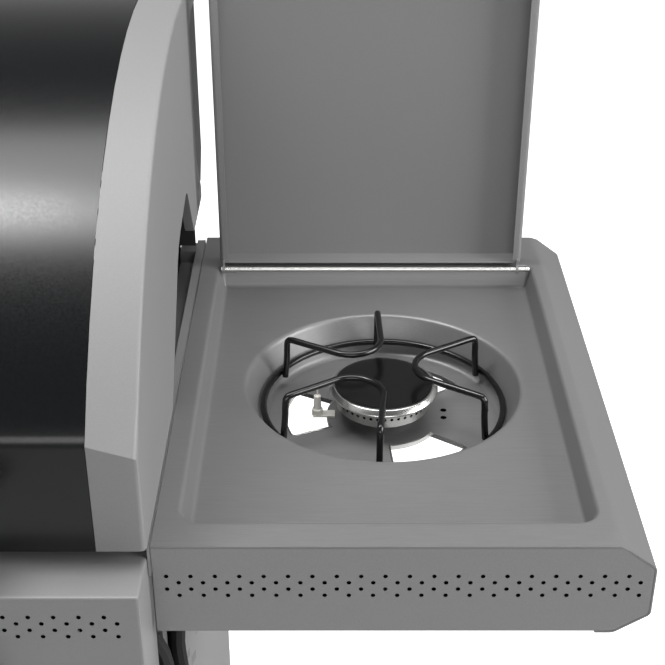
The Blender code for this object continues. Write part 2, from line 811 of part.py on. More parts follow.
def make_manifold():
    """The gas rail with a valve behind each knob and a spud for the side burner's hose."""
    tube = rod("x", (0, MANIFOLD_Y, KNOB_Z), MANIFOLD_R, 2 * MANIFOLD_HALF, 20)
    valves = joined(
        rod("y", (x, (MANIFOLD_Y + VALVE_Y) / 2, KNOB_Z), VALVE_R, MANIFOLD_Y - VALVE_Y, 12)
        for x in KNOB_XS
    )
    finish("gas_manifold", tube, ALUMINIUM, joins=[valves])


def make_grease_tray():
    y0 = BOX_FRONT + 0.070
    y1 = BOX_BACK - 0.070
    z0 = TRAY_TOP - TRAY_H
    pan = block((-TRAY_HALF, TRAY_HALF), (y0, y1), (z0, TRAY_TOP))
    hollow = block(
        (-TRAY_HALF + SHEET, TRAY_HALF - SHEET), (y0 + SHEET, y1 - SHEET), (z0 + SHEET, TRAY_TOP + 0.01)
    )
    finish("grease_tray", pan, ALUMINIUM, cuts=[hollow], origin=(0, y1, TRAY_TOP))


# ---- Control panel -----------------------------------------------------------------------------------


def make_control_panel():
    shell = block((-PANEL_HALF, PANEL_HALF), (PANEL_FRONT, PANEL_BACK), (PANEL_BOTTOM, PANEL_TOP), 0.003)
    hollow = block(
        (-PANEL_HALF + SHEET, PANEL_HALF - SHEET),
        (PANEL_FRONT + SHEET, PANEL_BACK + 0.01),
        (PANEL_BOTTOM + SHEET, PANEL_TOP - SHEET),
    )
    holes = [rod("y", (x, PANEL_FRONT, KNOB_Z), STEM_HOLE_R, 0.02, 12) for x in KNOB_XS]
    holes.append(rod("y", (BUTTON_X, PANEL_FRONT, KNOB_Z), BUTTON_R + 0.0005, 0.02, 20))
    finish("control_panel", shell, COAT, cuts=[hollow, joined(holes)])


def knob_mesh():
    """A turned knob with a stalk behind it, its skirt just off the panel."""
    face = PANEL_FRONT - 0.0008
    return turned(
        [
            (0, KNOB_L),
            (KNOB_R - 0.008, KNOB_L),
            (KNOB_R - 0.006, KNOB_L - 0.002),
            (KNOB_R - 0.004, 0.008),
            (KNOB_R, 0.005),
            (KNOB_R, 0),
            (STALK_R, 0),
            (STALK_R, -(VALVE_Y - face) + 0.0006),
            (0, -(VALVE_Y - face) + 0.0006),
        ],
        (0, 0, 0),
        20,
    )


def make_knobs():
    face = PANEL_FRONT - GAP
    for i, x in enumerate(KNOB_XS):
        name = "knob_side_burner" if i == 3 else f"knob_{i + 1}"
        turn = Matrix.Translation((x, face, KNOB_Z)) @ Matrix.Rotation(math.radians(90), 4, "X")
        body = knob_mesh()
        body.transform(turn)
        ridge = block((-0.004, 0.004), (-KNOB_R + 0.003, KNOB_R - 0.003), (0.004, KNOB_L - 0.0005), 0.0015)
        ridge.transform(turn)
        finish(name, body, PLASTIC, joins=[ridge], origin=(x, face, KNOB_Z))
    front = PANEL_FRONT - BUTTON_TRAVEL - 0.003
    button = rod("y", (BUTTON_X, (front - 0.036) / 2, KNOB_Z), BUTTON_R, -0.036 - front, 24)
    finish("ignition_button", button, PLASTIC, origin=(BUTTON_X, front, KNOB_Z))


# ---- Side shelves ------------------------------------------------------------------------------------


def shelf_profile(inset=0.0, return_lip=0.0):
    """The right shelf seen from the front: top, slope, outer edge, lower slope and a return lip."""
    x0 = SHELF_X
    x1 = SHELF_X + SHELF_W
    upper = math.atan2(SLOPE_TOP, SLOPE_W)
    lower = math.atan2(SLOPE_BOTTOM, SLOPE_W)
    side_top = inset * math.tan((math.pi / 2 - upper) / 2)
    side_low = inset * math.tan((math.pi / 2 - lower) / 2)
    bottom = -FASCIA_H + inset
    run = rounded(
        [
            (x0, -inset, 0),
            (x1 - SLOPE_W - inset * math.tan(upper / 2), -inset, SLOPE_R - inset),
            (x1 - inset, -SLOPE_TOP - side_top, EDGE_R - inset),
            (x1 - inset, -FASCIA_H + SLOPE_BOTTOM + side_low, EDGE_R - inset),
            (x1 - SLOPE_W - inset * math.tan(lower / 2), bottom, SLOPE_R - inset),
            (x1 - SLOPE_W - return_lip, bottom, 0),
            (x0 - 1, bottom, 0),
            (x0 - 1, -inset, 0),
        ],
        14,
    )
    return run[:-2]


def shelf_sheet():
    """The shelf's top and outer edge as one bent sheet, front to back."""
    outside = shelf_profile(0, LIP_W + 0.004)
    inside = shelf_profile(SHEET, LIP_W + 0.004)
    return plate(outside + inside[::-1], "y", 0, SHELF_D)


def well_ring(grow, z):
    """The well's rounded plan, grown outwards, at a height."""
    x0 = SHELF_X + WELL_IN - grow
    x1 = SHELF_X + SHELF_W - WELL_OUT + grow
    y0 = WELL_FRONT - grow
    y1 = WELL_Y1 + grow
    front = WELL_R + grow
    back = WELL_BACK_R + grow
    plan = rounded([(x0, y0, front), (x1, y0, front), (x1, y1, back), (x0, y1, back)])
    return [(x, y, z) for x, y in plan]


def well_solid(grow, top, bottom):
    return loft([well_ring(grow - WELL_DRAFT, bottom), well_ring(grow, top)])


def bowl_solid(grow, top):
    """The burner bowl's round solid, grown outwards and downwards."""
    floor = BOWL_FLOOR - grow
    round_off = 0.006
    return turned(
        [
            (0, top),
            (BOWL_R + grow, top),
            (BOWL_FLOOR_R + grow + 0.0055, floor + round_off),
            (BOWL_FLOOR_R + grow + 0.003, floor + 0.0015),
            (BOWL_FLOOR_R + grow - 0.001, floor),
            (0, floor),
        ],
        (BURNER_X, BOWL_Y, 0),
        48,
    )


def vent_plate(middle):
    """One vent: a stretch of ring cut through the bowl's floor."""
    count = 6
    outline = []
    for radius, order in ((VENT_OUT, range(count + 1)), (VENT_IN, range(count, -1, -1))):
        for k in order:
            angle = math.radians(middle - VENT_ANGLE / 2 + VENT_ANGLE * k / count)
            outline.append((BURNER_X + radius * math.cos(angle), BOWL_Y + radius * math.sin(angle)))
    return plate(outline, "z", BOWL_FLOOR - 0.01, BOWL_FLOOR + 0.005)


def make_right_tray():
    top = shelf_sheet()
    vents = [vent_plate(angle) for angle in VENT_MIDDLES]
    stem_hole = rod("z", (BURNER_X, BOWL_Y, BOWL_FLOOR), STEM_R + 0.001, 0.02, 24)
    finish(
        "shelf_right_tray",
        top,
        STEEL,
        joins=[
            well_solid(SHEET, -SHEET / 2, WELL_FLOOR - SHEET),
            bowl_solid(SHEET, WELL_FLOOR - SHEET / 2),
        ],
        cuts=[
            well_solid(0, 0.001, WELL_FLOOR),
            bowl_solid(0, WELL_FLOOR + 0.001),
            joined([*vents, stem_hole]),
        ],
    )


def make_left_tray():
    top = mirrored(shelf_sheet(), -1)
    outer = mirrored(well_solid(SHEET, -SHEET / 2, -LEFT_WELL_DEPTH - SHEET), -1)
    inner = mirrored(well_solid(0, 0.001, -LEFT_WELL_DEPTH), -1)
    finish("shelf_left_tray", top, STEEL, joins=[outer], cuts=[inner])


def make_fascias():
    """The shelves' rims, inside the bent sheet: front and back plates, a side and a lip below."""
    x0 = SHELF_X
    x1 = SHELF_X + SHELF_W
    step = SHEET + GAP
    outer = [*shelf_profile(step, LIP_W)[:-1], (x0, -FASCIA_H + step)]
    wall = x1 - step - SHEET
    run = shelf_profile(step + SHEET, LIP_W)
    side = [i for i, point in enumerate(run) if point[0] > wall - 1e-6]
    inner = [(x0 - 0.01, 0.01), (wall, 0.01), *run[side[0] : -1], (x0 - 0.01, -FASCIA_H + step + SHEET)]
    mouth_x = (x0 - 0.02, x1 - SLOPE_W - LIP_W - 0.002)
    low = -FASCIA_H
    for side, sign in (("left", -1), ("right", 1)):
        band = mirrored(plate(outer, "y", 0, SHELF_D), sign)
        hollow = mirrored(plate(inner, "y", SHEET, SHELF_D - SHEET), sign)
        mouth = mirrored(block(mouth_x, (LIP_W, SHELF_D - LIP_W), (low - 0.01, low + 0.01)), sign)
        finish(f"shelf_{side}_fascia", band, COAT, cuts=[hollow, mouth])


def make_side_burner():
    place = (BURNER_X, BOWL_Y, 0)
    base = turned(
        [
            (0, PORT_BOTTOM - GAP),
            (CUP_R, PORT_BOTTOM - GAP),
            (CUP_R, PORT_BOTTOM - 0.004),
            (STEM_R + 0.006, BOWL_FLOOR + 0.004),
            (STEM_R + 0.006, BOWL_FLOOR + GAP),
            (STEM_R, BOWL_FLOOR + GAP),
            (STEM_R, STEM_BOTTOM + 0.012),
            (0.010, STEM_BOTTOM + 0.008),
            (0.010, STEM_BOTTOM),
            (0, STEM_BOTTOM),
        ],
        place,
        24,
    )
    finish("side_burner_base", base, ALUMINIUM)
    ring = turned(
        [
            (PORT_R - 0.012, PORT_TOP - 0.002),
            (PORT_R - 0.010, PORT_TOP),
            (PORT_R, PORT_TOP),
            (PORT_R + 0.001, PORT_TOP - 0.003),
            (PORT_R, PORT_BOTTOM),
            (PORT_R - 0.012, PORT_BOTTOM),
            (PORT_R - 0.012, PORT_TOP - 0.002),
        ],
        place,
        32,
    )
    finish("side_burner_port_ring", ring, ALUMINIUM)
    low = CAP_DISC_Z - CAP_DISC_H
    cap = turned(
        [
            (0, CAP_DISC_Z),
            (CAP_DISC_R - CAP_BEVEL, CAP_DISC_Z),
            (CAP_DISC_R - 0.001, CAP_DISC_Z - 0.0035),
            (CAP_DISC_R, CAP_DISC_Z - 0.0050),
            (CAP_DISC_R - 0.001, low),
            (0, low),
        ],
        place,
        40,
    )
    finish("side_burner_cap", cap, ENAMEL, origin=(BURNER_X, BOWL_Y, low))


def make_electrode():
    x = BURNER_X + ELECTRODE_X
    body = turned(
        [
            (0, BOWL_FLOOR + 0.030),
            (0.0008, BOWL_FLOOR + 0.030),
            (0.0008, BOWL_FLOOR + 0.022),
            (0.0032, BOWL_FLOOR + 0.021),
            (0.0036, BOWL_FLOOR + 0.008),
            (0.0050, BOWL_FLOOR + 0.007),
            (0.0050, BOWL_FLOOR + GAP),
            (0, BOWL_FLOOR + GAP),
        ],
        (x, BOWL_Y, 0),
        12,
    )
    deep = (BOWL_Y - 0.005, BOWL_Y + 0.005)
    foot = block((x - 0.004, x + 0.016), deep, (BOWL_FLOOR + GAP, BOWL_FLOOR + 0.002))
    finish("igniter_electrode", body, CERAMIC, joins=[foot])


def around(radius, degrees, z):
    angle = math.radians(degrees)
    return Vector((BURNER_X + radius * math.cos(angle), BOWL_Y + radius * math.sin(angle), z))


def smooth(points, per_span=6):
    """A Catmull-Rom curve read through points."""
    ends = [points[0] * 2 - points[1], *points, points[-1] * 2 - points[-2]]
    line = []
    for a, b, c, d in zip(ends, ends[1:], ends[2:], ends[3:]):
        for k in range(per_span):
            t = k / per_span
            line.append(
                0.5
                * (
                    2 * b
                    + (c - a) * t
                    + (2 * a - 5 * b + 4 * c - d) * t**2
                    + (3 * b - a - 3 * c + d) * t**3
                )
            )
    return [*line, points[-1]]


def hairpin(first, second):
    """Two arms of the pan support joined by a bend near the middle, each with a leg down to the ring."""
    corner = 0.007
    foot = RING_Z - 0.006
    post = RING_R - POST_IN_RING
    top = post - POST_LEAN
    half = []
    for degrees in (first, second):
        half.append(
            [
                around(post, degrees, foot),
                around(top, degrees, ARM_TOP - WIRE_R - corner),
                around(top - corner * 0.3, degrees, ARM_TOP - WIRE_R - corner * 0.3),
                around(top - corner, degrees, ARM_TOP - WIRE_R),
                around(ARM_IN + 0.022, degrees, ARM_TOP - WIRE_R),
            ]
        )
    middle = (first + second) / 2
    bend = [half[0][-1], around(ARM_IN + 0.006, middle + (first - middle) * 0.62, ARM_TOP - WIRE_R)]
    bend.append(around(ARM_IN, middle, ARM_TOP - WIRE_R))
    bend.append(around(ARM_IN + 0.006, middle + (second - middle) * 0.62, ARM_TOP - WIRE_R))
    bend.append(half[1][-1])
    return [*half[0][:-1], *smooth(bend, 3), *half[1][-2::-1]]


def make_pan_support():
    ring = wire([around(RING_R, 10 * i, RING_Z) for i in range(36)], WIRE_R, closed=True)
    pins = [wire(hairpin(a, b), WIRE_R) for a, b in ((90, 150), (-30, 30), (210, 270))]
    finish("pan_support", ring, ENAMEL, joins=[joined(pins)], origin=(BURNER_X, BOWL_Y, RING_Z))


def make_hose():
    """The side burner's hose: from the manifold, in a hanging loop beside the cart, to the stem."""
    route = [
        Vector((MANIFOLD_HALF + 0.00375, MANIFOLD_Y, KNOB_Z)),
        Vector((HALF - 0.023, MANIFOLD_Y + 0.004, KNOB_Z - 0.001)),
        Vector((HALF - 0.011, 0.020, KNOB_Z - 0.014)),
        Vector((HALF - 0.001, 0.033, KNOB_Z - 0.046)),
        Vector((HALF + 0.003, 0.039, KNOB_Z - 0.096)),
        Vector((HALF + 0.008, 0.059, KNOB_Z - 0.136)),
        Vector((HALF + 0.006, 0.083, KNOB_Z - 0.118)),
        Vector((HALF + 0.003, 0.096, KNOB_Z - 0.080)),
        Vector((HALF + 0.016, 0.116, KNOB_Z - 0.050)),
        Vector((BURNER_X - 0.110, 0.160, KNOB_Z - 0.042)),
        Vector((BURNER_X - 0.045, 0.220, KNOB_Z - 0.042)),
        Vector((BURNER_X - 0.008, BOWL_Y - 0.010, STEM_BOTTOM - 0.032)),
        Vector((BURNER_X, BOWL_Y, STEM_BOTTOM - 0.014)),
        Vector((BURNER_X, BOWL_Y, STEM_BOTTOM - 0.007)),
        Vector((BURNER_X, BOWL_Y, STEM_BOTTOM - GAP)),
    ]
    finish("side_burner_hose", wire(smooth(route, 4), HOSE_R), RUBBER)


def make_side_lid():
    """The burner's lid standing open: a shallow pan with a turned-in lip and two ears on the rod."""
    x0 = SHELF_X + LID_IN
    x1 = x0 + LID_W
    y0 = LID_FRONT
    y1 = y0 + LID_T
    z0 = LID_BOTTOM
    z1 = z0 + LID_LENGTH
    t = SHEET
    pan = block((x0, x1), (y0, y1), (z0, z1), 0.003)
    hollow = block((x0 + t, x1 - t), (y0 + t, y1 - t), (z0 + t, z1 - t))
    mouth = block((x0 + LID_LIP, x1 - LID_LIP), (y0 - 0.01, y0 + 2 * t), (z0 + t, z1 - LID_LIP))
    origin = (x0, ROD_Y, ROD_Z)
    finish("side_lid", pan, COAT, cuts=[hollow, mouth], origin=origin)
    eyes = []
    links = []
    for x in (x0 + EAR_IN, x1 - EAR_IN - EAR_T):
        eyes.append(rod("x", (x + EAR_T / 2, ROD_Y, ROD_Z), EAR_R, EAR_T, 16))
        links.append(
            block(
                (x + 0.0001, x + EAR_T - 0.0001),
                (ROD_Y, ROD_Y + EAR_R - 0.0002),
                (ROD_Z, LID_BOTTOM + 0.006),
            )
        )
    lid = bpy.data.objects["side_lid"]
    add_joins(lid, [joined(eyes), joined(links)])
    bore = helper(
        rod("x", (x0 + LID_W / 2, ROD_Y, ROD_Z), ROD_R + PIN_CLEARANCE, LID_W, 16), "side_lid_bore"
    )
    boolean = lid.modifiers.new("side_lid_bore", "BOOLEAN")
    boolean.operation = "DIFFERENCE"
    boolean.object = bore
    left = SHELF_X + WELL_IN + 0.0013
    right = SHELF_X + SHELF_W - WELL_OUT - 0.0013
    bar = rod("x", ((left + right) / 2, ROD_Y, ROD_Z), ROD_R, right - left, 16)
    finish("side_lid_rod", bar, STEEL)


def make_shelves():
    make_right_tray()
    make_left_tray()
    make_fascias()
    make_side_burner()
    make_electrode()
    make_pan_support()
    make_hose()
    make_side_lid()


# ---- Cart --------------------------------------------------------------------------------------------


def make_leg_frames():
    """A welded side frame: front and rear posts, and the rail that carries a shelf."""
    back = CART_BACK - 0.040
    posts_x = (HALF - POST_IN - POST, HALF - POST_IN)
    for side, sign in (("left", -1), ("right", 1)):
        front_post = block(posts_x, (POST_FRONT, POST_FRONT + POST), (BASE_TOP + GAP, -RAIL_H))
        rear_post = block(posts_x, (back - POST, back), (BASE_TOP + GAP, -0.002))
        tie = block(posts_x, (POST_FRONT, back), (-RAIL_H - 0.002, -RAIL_H + 0.012))
        edge = HALF + SHELF_GAP - 0.0012
        web = block((edge - RAIL_T, edge), (0, SHELF_D - 0.004), (-RAIL_H - 0.001, -0.001))
        top = block(
            (edge - RAIL_W, edge - RAIL_T / 2), (PANEL_BACK + GAP, SHELF_D - 0.004), (-0.0025, -0.001)
        )
        foot = block(
            (posts_x[1] - 0.002, edge - RAIL_T / 2), (POST_FRONT, back), (-RAIL_H, -RAIL_H + 0.006)
        )
        shapes = [mirrored(shape, sign) for shape in (tie, front_post, rear_post, foot, web, top)]
        finish(f"leg_frame_{side}", shapes[0], COAT, joins=shapes[1:])


def make_cabinet():
    low = FLOOR + BASE_Z
    edge = HALF + SHELF_GAP - 0.0018
    y0 = DOOR_T + 0.004
    outer = block((-edge + SHEET + GAP, edge - SHEET - GAP), (y0, CART_BACK - SHEET - GAP), (low, BASE_TOP))
    pocket = block(
        (-edge + 2 * SHEET, edge - 2 * SHEET),
        (y0 + SHEET, CART_BACK - 2 * SHEET - GAP),
        (low + SHEET, BASE_TOP + 1),
    )
    finish("bottom_shelf", outer, COAT, cuts=[pocket])
    for side, sign in (("left", -1), ("right", 1)):
        posts = (HALF - POST_IN - POST, HALF - POST_IN)
        sheet = block((edge - SHEET, edge), (y0, CART_BACK), (low, CART_TOP))
        fold = block((posts[1] + GAP, edge - SHEET / 2), (y0, y0 + SHEET), (BASE_TOP + GAP, CART_TOP))
        finish(f"side_panel_{side}", mirrored(sheet, sign), COAT, joins=[mirrored(fold, sign)])
    back = block(
        (-edge + SHEET + GAP, edge - SHEET - GAP), (CART_BACK - SHEET, CART_BACK), (low + 0.001, CART_TOP)
    )
    finish("back_panel", back, COAT)


def make_doors():
    """Two doors, each a shallow pan open to the cabinet, with an upright bar handle."""
    top = PANEL_BOTTOM - 0.004
    bottom = FLOOR + BASE_Z
    for side, sign in (("left", -1), ("right", 1)):
        x0 = 0.0015
        x1 = HALF
        pan = block((x0, x1), (0, DOOR_T), (bottom, top), 0.002)
        hollow = block(
            (x0 + SHEET, x1 - SHEET), (SHEET, DOOR_T + 0.01), (bottom + SHEET, top - SHEET)
        )
        hinge = (sign * (HALF - 0.002), DOOR_T, bottom)
        finish(f"door_{side}", mirrored(pan, sign), COAT, cuts=[mirrored(hollow, sign)], origin=hinge)
        x = 0.045
        length = 0.260
        middle = top - 0.030 - length / 2
        bar = rod("z", (x, -0.030, middle), 0.007, length, 16)
        stubs = joined(
            rod("y", (x, (-0.030 - GAP) / 2, middle + k * (length / 2 - 0.030)), 0.005, 0.030 - GAP, 12)
            for k in (-1, 1)
        )
        finish(
            f"door_handle_{side}", mirrored(bar, sign), STEEL, joins=[mirrored(stubs, sign)], origin=hinge
        )


def make_casters():
    """A swivelling fork and its wheel under each corner."""
    z_axle = FLOOR + WHEEL_R
    top = FLOOR + BASE_Z - GAP
    cheek = WHEEL_W / 2 + 0.002
    spots = [(x, y) for y in (CASTER_FRONT, CASTER_BACK) for x in (-CASTER_X, CASTER_X)]
    for i, (x, y) in enumerate(spots):
        axle_y = y + TRAIL
        plate_z = (FLOOR + 2 * WHEEL_R + 0.003, FLOOR + 2 * WHEEL_R + 0.0055)
        crown = block((x - cheek - 0.0025, x + cheek + 0.0025), (y - 0.020, axle_y + 0.010), plate_z)
        cheeks = []
        for sign in (-1, 1):
            low, high = sorted((x + sign * cheek, x + sign * (cheek + 0.0025)))
            outline = [
                (y - 0.020, plate_z[1]),
                (axle_y - 0.009, z_axle - 0.004),
                (axle_y - 0.004, z_axle - 0.009),
                (axle_y + 0.004, z_axle - 0.009),
                (axle_y + 0.009, z_axle - 0.004),
                (axle_y + 0.010, plate_z[1]),
            ]
            cheeks.append(plate(outline, "x", low, high))
        stem = rod("z", (x, y, (plate_z[0] + 0.001 + top) / 2), 0.014, top - plate_z[0] - 0.001, 20)
        axle = rod("x", (x, axle_y, z_axle), AXLE_R, 2 * cheek + 0.004, 12)
        finish(
            f"caster_fork_{i + 1}", crown, CHROME, joins=[joined(cheeks), stem, axle], origin=(x, y, top)
        )
        half = WHEEL_W / 2
        wheel = turned(
            [
                (AXLE_R + PIN_CLEARANCE, half),
                (WHEEL_R - 0.004, half),
                (WHEEL_R, half - 0.004),
                (WHEEL_R, -half + 0.004),
                (WHEEL_R - 0.004, -half),
                (AXLE_R + PIN_CLEARANCE, -half),
                (AXLE_R + PIN_CLEARANCE, half),
            ],
            (x, axle_y, z_axle),
            24,
            "x",
        )
        finish(f"caster_wheel_{i + 1}", wheel, RUBBER, origin=(x, axle_y, z_axle))


def main():
    make_hood()
    make_firebox()
    make_end_panels()
    make_grates()
    make_burners()
    make_warming_rack()
    make_manifold()
    make_grease_tray()
    make_control_panel()
    make_knobs()
    make_shelves()
    make_leg_frames()
    make_cabinet()
    make_doors()
    make_casters()


main()
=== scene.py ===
import json
import math

import bpy
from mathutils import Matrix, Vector


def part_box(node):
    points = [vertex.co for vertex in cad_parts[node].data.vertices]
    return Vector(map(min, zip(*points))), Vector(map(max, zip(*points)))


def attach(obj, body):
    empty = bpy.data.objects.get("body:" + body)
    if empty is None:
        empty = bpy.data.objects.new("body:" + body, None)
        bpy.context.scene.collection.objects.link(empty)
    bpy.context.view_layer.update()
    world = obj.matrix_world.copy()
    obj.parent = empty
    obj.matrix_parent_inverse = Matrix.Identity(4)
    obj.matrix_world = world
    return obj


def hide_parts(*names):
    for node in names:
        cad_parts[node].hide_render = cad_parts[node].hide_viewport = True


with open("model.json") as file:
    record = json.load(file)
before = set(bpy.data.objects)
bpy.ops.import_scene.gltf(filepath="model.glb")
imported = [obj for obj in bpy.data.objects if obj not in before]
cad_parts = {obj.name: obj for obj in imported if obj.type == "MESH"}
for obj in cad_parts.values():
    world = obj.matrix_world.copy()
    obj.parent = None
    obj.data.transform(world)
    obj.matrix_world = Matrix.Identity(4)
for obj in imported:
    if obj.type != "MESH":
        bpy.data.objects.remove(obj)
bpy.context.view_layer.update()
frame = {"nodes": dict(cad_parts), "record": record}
RECORD = frame["record"]
SLOTS = {part["node"]: part["material_slot"] for part in RECORD["subparts"]}
BODIES = {node: body for body, nodes in RECORD["behaviour"]["bodies"].items() for node in nodes}

# ---- Places: x from the middle, y back from the shelves' front, z up from the shelves' top -----------
SHELF_LO, SHELF_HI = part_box("shelf_right_tray")
FRONT = SHELF_LO.y
TOP = SHELF_HI.z
MM = 0.001


def at(x, y, z):
    """A place measured from the middle, the shelves' front edge and their top."""
    return Vector((x, FRONT + y, TOP + z))


# ---- Materials ---------------------------------------------------------------------------------------


def colour(value):
    """A hex sRGB colour as linear red, green, blue and alpha."""
    parts = [int(value[i : i + 2], 16) / 255 for i in (0, 2, 4)]
    return [c / 12.92 if c <= 0.04045 else ((c + 0.055) / 1.055) ** 2.4 for c in parts] + [1]


def add_node(material, kind, settings=None, inputs=None):
    """A node of a kind, its settings set, its inputs given a value or linked from another node's output."""
    node = material.node_tree.nodes.new("ShaderNode" + kind)
    for name, value in (settings or {}).items():
        setattr(node, name, value)
    for name, value in (inputs or {}).items():
        if isinstance(value, bpy.types.NodeSocket):
            material.node_tree.links.new(value, node.inputs[name])
        else:
            node.inputs[name].default_value = value
    return node


def finish_of(name, base, roughness, metallic=0.0, **sockets):
    """A Principled material with its constants set on the shader's own sockets."""
    material = bpy.data.materials.new(name)
    material.use_nodes = True
    shader = material.node_tree.nodes["Principled BSDF"]
    shader.inputs["Base Color"].default_value = colour(base)
    shader.inputs["Roughness"].default_value = roughness
    shader.inputs["Metallic"].default_value = metallic
    for socket, value in sockets.items():
        shader.inputs[socket.replace("_", " ")].default_value = value
    return material


def grain(material, size, stretch=(1, 1, 1), bump=0.0, colours=None, roughness=None):
    """A noise of a real grain size, in metres, that drives bump, colour and roughness."""
    shader = material.node_tree.nodes["Principled BSDF"]
    place = add_node(material, "TexCoord").outputs["Object"]
    mapping = add_node(material, "Mapping", inputs={"Vector": place, "Scale": stretch})
    noise = add_node(
        material,
        "TexNoise",
        inputs={"Vector": mapping.outputs["Vector"], "Scale": 1 / size, "Detail": 2.0, "Roughness": 0.55},
    )
    link = material.node_tree.links.new
    if bump:
        made = add_node(
            material, "Bump", inputs={"Height": noise.outputs["Fac"], "Strength": 1.0, "Distance": bump}
        )
        if shader.inputs["Normal"].is_linked:
            link(shader.inputs["Normal"].links[0].from_socket, made.inputs["Normal"])
        link(made.outputs["Normal"], shader.inputs["Normal"])
    if colours:
        ramp = add_node(material, "ValToRGB", inputs={"Fac": noise.outputs["Fac"]})
        ramp.color_ramp.elements[0].position = 0.35
        ramp.color_ramp.elements[1].position = 0.65
        ramp.color_ramp.elements[0].color = colour(colours[0])
        ramp.color_ramp.elements[1].color = colour(colours[1])
        link(ramp.outputs["Color"], shader.inputs["Base Color"])
    if roughness:
        spread = add_node(
            material,
            "MapRange",
            inputs={
                "Value": noise.outputs["Fac"],
                "From Min": 0.3,
                "From Max": 0.7,
                "To Min": roughness[0],
                "To Max": roughness[1],
            },
        )
        link(spread.outputs["Result"], shader.inputs["Roughness"])
    return material


# Vitreous enamel fired on steel: deep black with a soft gloss and a faint orange peel.
ENAMEL = grain(finish_of("vitreous_enamel", "101112", 0.24, Specular_IOR_Level=0.40), 2.2 * MM,
               bump=0.004 * MM, roughness=(0.22, 0.27))
# Silver powder coat baked on sheet steel: satin grey with a fine even grain.
COAT = grain(finish_of("silver_powder_coat", "7e7e7e", 0.55, 0.15), 0.7 * MM, bump=0.006 * MM,
             colours=("7b7b7b", "828282"), roughness=(0.52, 0.60))
# Stainless sheet with a fine satin brushing from side to side.
STEEL = grain(finish_of("satin_stainless", "7c7c7c", 0.42, 0.45), 0.8 * MM, stretch=(0.03, 1, 1),
              bump=0.0008 * MM, colours=("7a7a7a", "7f7f7f"), roughness=(0.40, 0.46))
# Polished stainless wire and rolled edges.
BRIGHT_STEEL = grain(finish_of("polished_steel", "d2d2d0", 0.26, 1.0), 0.6 * MM, stretch=(0.1, 1, 1),
                     bump=0.001 * MM)
# Seasoned cast iron, matt with a sandy skin.
IRON = grain(finish_of("cast_iron", "2a2928", 0.68, 0.2), 1.1 * MM, bump=0.06 * MM,
             colours=("232221", "32302e"))
# Dark textured powder coat of the frame and hinges.
DARK = grain(finish_of("dark_powder_coat", "3a3b3c", 0.5, 0.1), 0.6 * MM, bump=0.012 * MM,
             colours=("343536", "404142"))
# Cast aluminium with a soft sheen and a slight casting grain.
ALUMINIUM = grain(finish_of("cast_aluminium", "b4b4b2", 0.36, 1.0), 0.8 * MM, bump=0.012 * MM,
                  colours=("a8a8a6", "bcbcba"))
# Chrome plate on steel wire and pressings.
CHROME = grain(finish_of("chrome_plate", "d2d2d2", 0.10, 1.0), 3.0 * MM, roughness=(0.08, 0.14))
# Moulded ABS with a fine spark texture.
PLASTIC = grain(finish_of("moulded_abs", "6a6b6d", 0.42), 0.5 * MM, bump=0.012 * MM,
                colours=("646567", "707173"))
# Rubber, matt black with a slight bloom.
RUBBER = grain(finish_of("black_rubber", "1d1d1e", 0.75), 0.9 * MM, bump=0.02 * MM,
               colours=("1a1a1b", "232324"))
# Glazed ceramic of the spark electrode.
CERAMIC = grain(finish_of("glazed_ceramic", "d8d6ce", 0.18, Coat_Weight=0.3), 2.0 * MM,
                roughness=(0.14, 0.22))
# The unlit space behind punched holes.
SHADOW = finish_of("hole_shadow", "060606", 0.9, Specular_IOR_Level=0.0)
# Black enamelled wire of the pan support, glossier than the hood.
WIRE_ENAMEL = grain(finish_of("wire_enamel", "0d0d0e", 0.20), 1.2 * MM, bump=0.006 * MM,
                    roughness=(0.16, 0.26))
FINISHES = {
    "black_enamel": ENAMEL,
    "silver_coat": COAT,
    "stainless_steel": STEEL,
    "cast_iron": IRON,
    "dark_coat": DARK,
    "aluminium": ALUMINIUM,
    "chrome": CHROME,
    "grey_plastic": PLASTIC,
    "rubber": RUBBER,
    "ceramic": CERAMIC,
}

# ---- Modelling helpers -------------------------------------------------------------------------------


def select_only(obj):
    """The piece alone selected and active."""
    bpy.ops.object.select_all(action="DESELECT")
    obj.select_set(True)
    bpy.context.view_layer.objects.active = obj


def apply_modifiers(obj):
    """A piece's modifiers applied in their order."""
    select_only(obj)
    for modifier in list(obj.modifiers):
        bpy.ops.object.modifier_apply(modifier=modifier.name)


def bevelled(obj, width, segments=2, angle=30):
    """Edges sharper than the angle rounded."""
    bevel = obj.modifiers.new("Bevel", "BEVEL")
    bevel.width = width
    bevel.segments = segments
    bevel.limit_method = "ANGLE"
    bevel.angle_limit = math.radians(angle)
    bevel.use_clamp_overlap = True
    apply_modifiers(obj)
    return obj


def smooth(obj, angle=30):
    """Smooth shading up to the angle, with flat faces kept flat beside their rounded edges."""
    select_only(obj)
    bpy.ops.object.shade_smooth_by_angle(angle=math.radians(angle))
    weighted = obj.modifiers.new("Weighted normals", "WEIGHTED_NORMAL")
    weighted.keep_sharp = True
    apply_modifiers(obj)
    return obj


def placed(obj, material, node, replaces=True):
    """The finished piece gets its finish and its body, and stands for its node."""
    obj.data.materials.clear()
    obj.data.materials.append(material)
    if replaces:
        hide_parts(node)
    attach(obj, BODIES[node])
    return obj


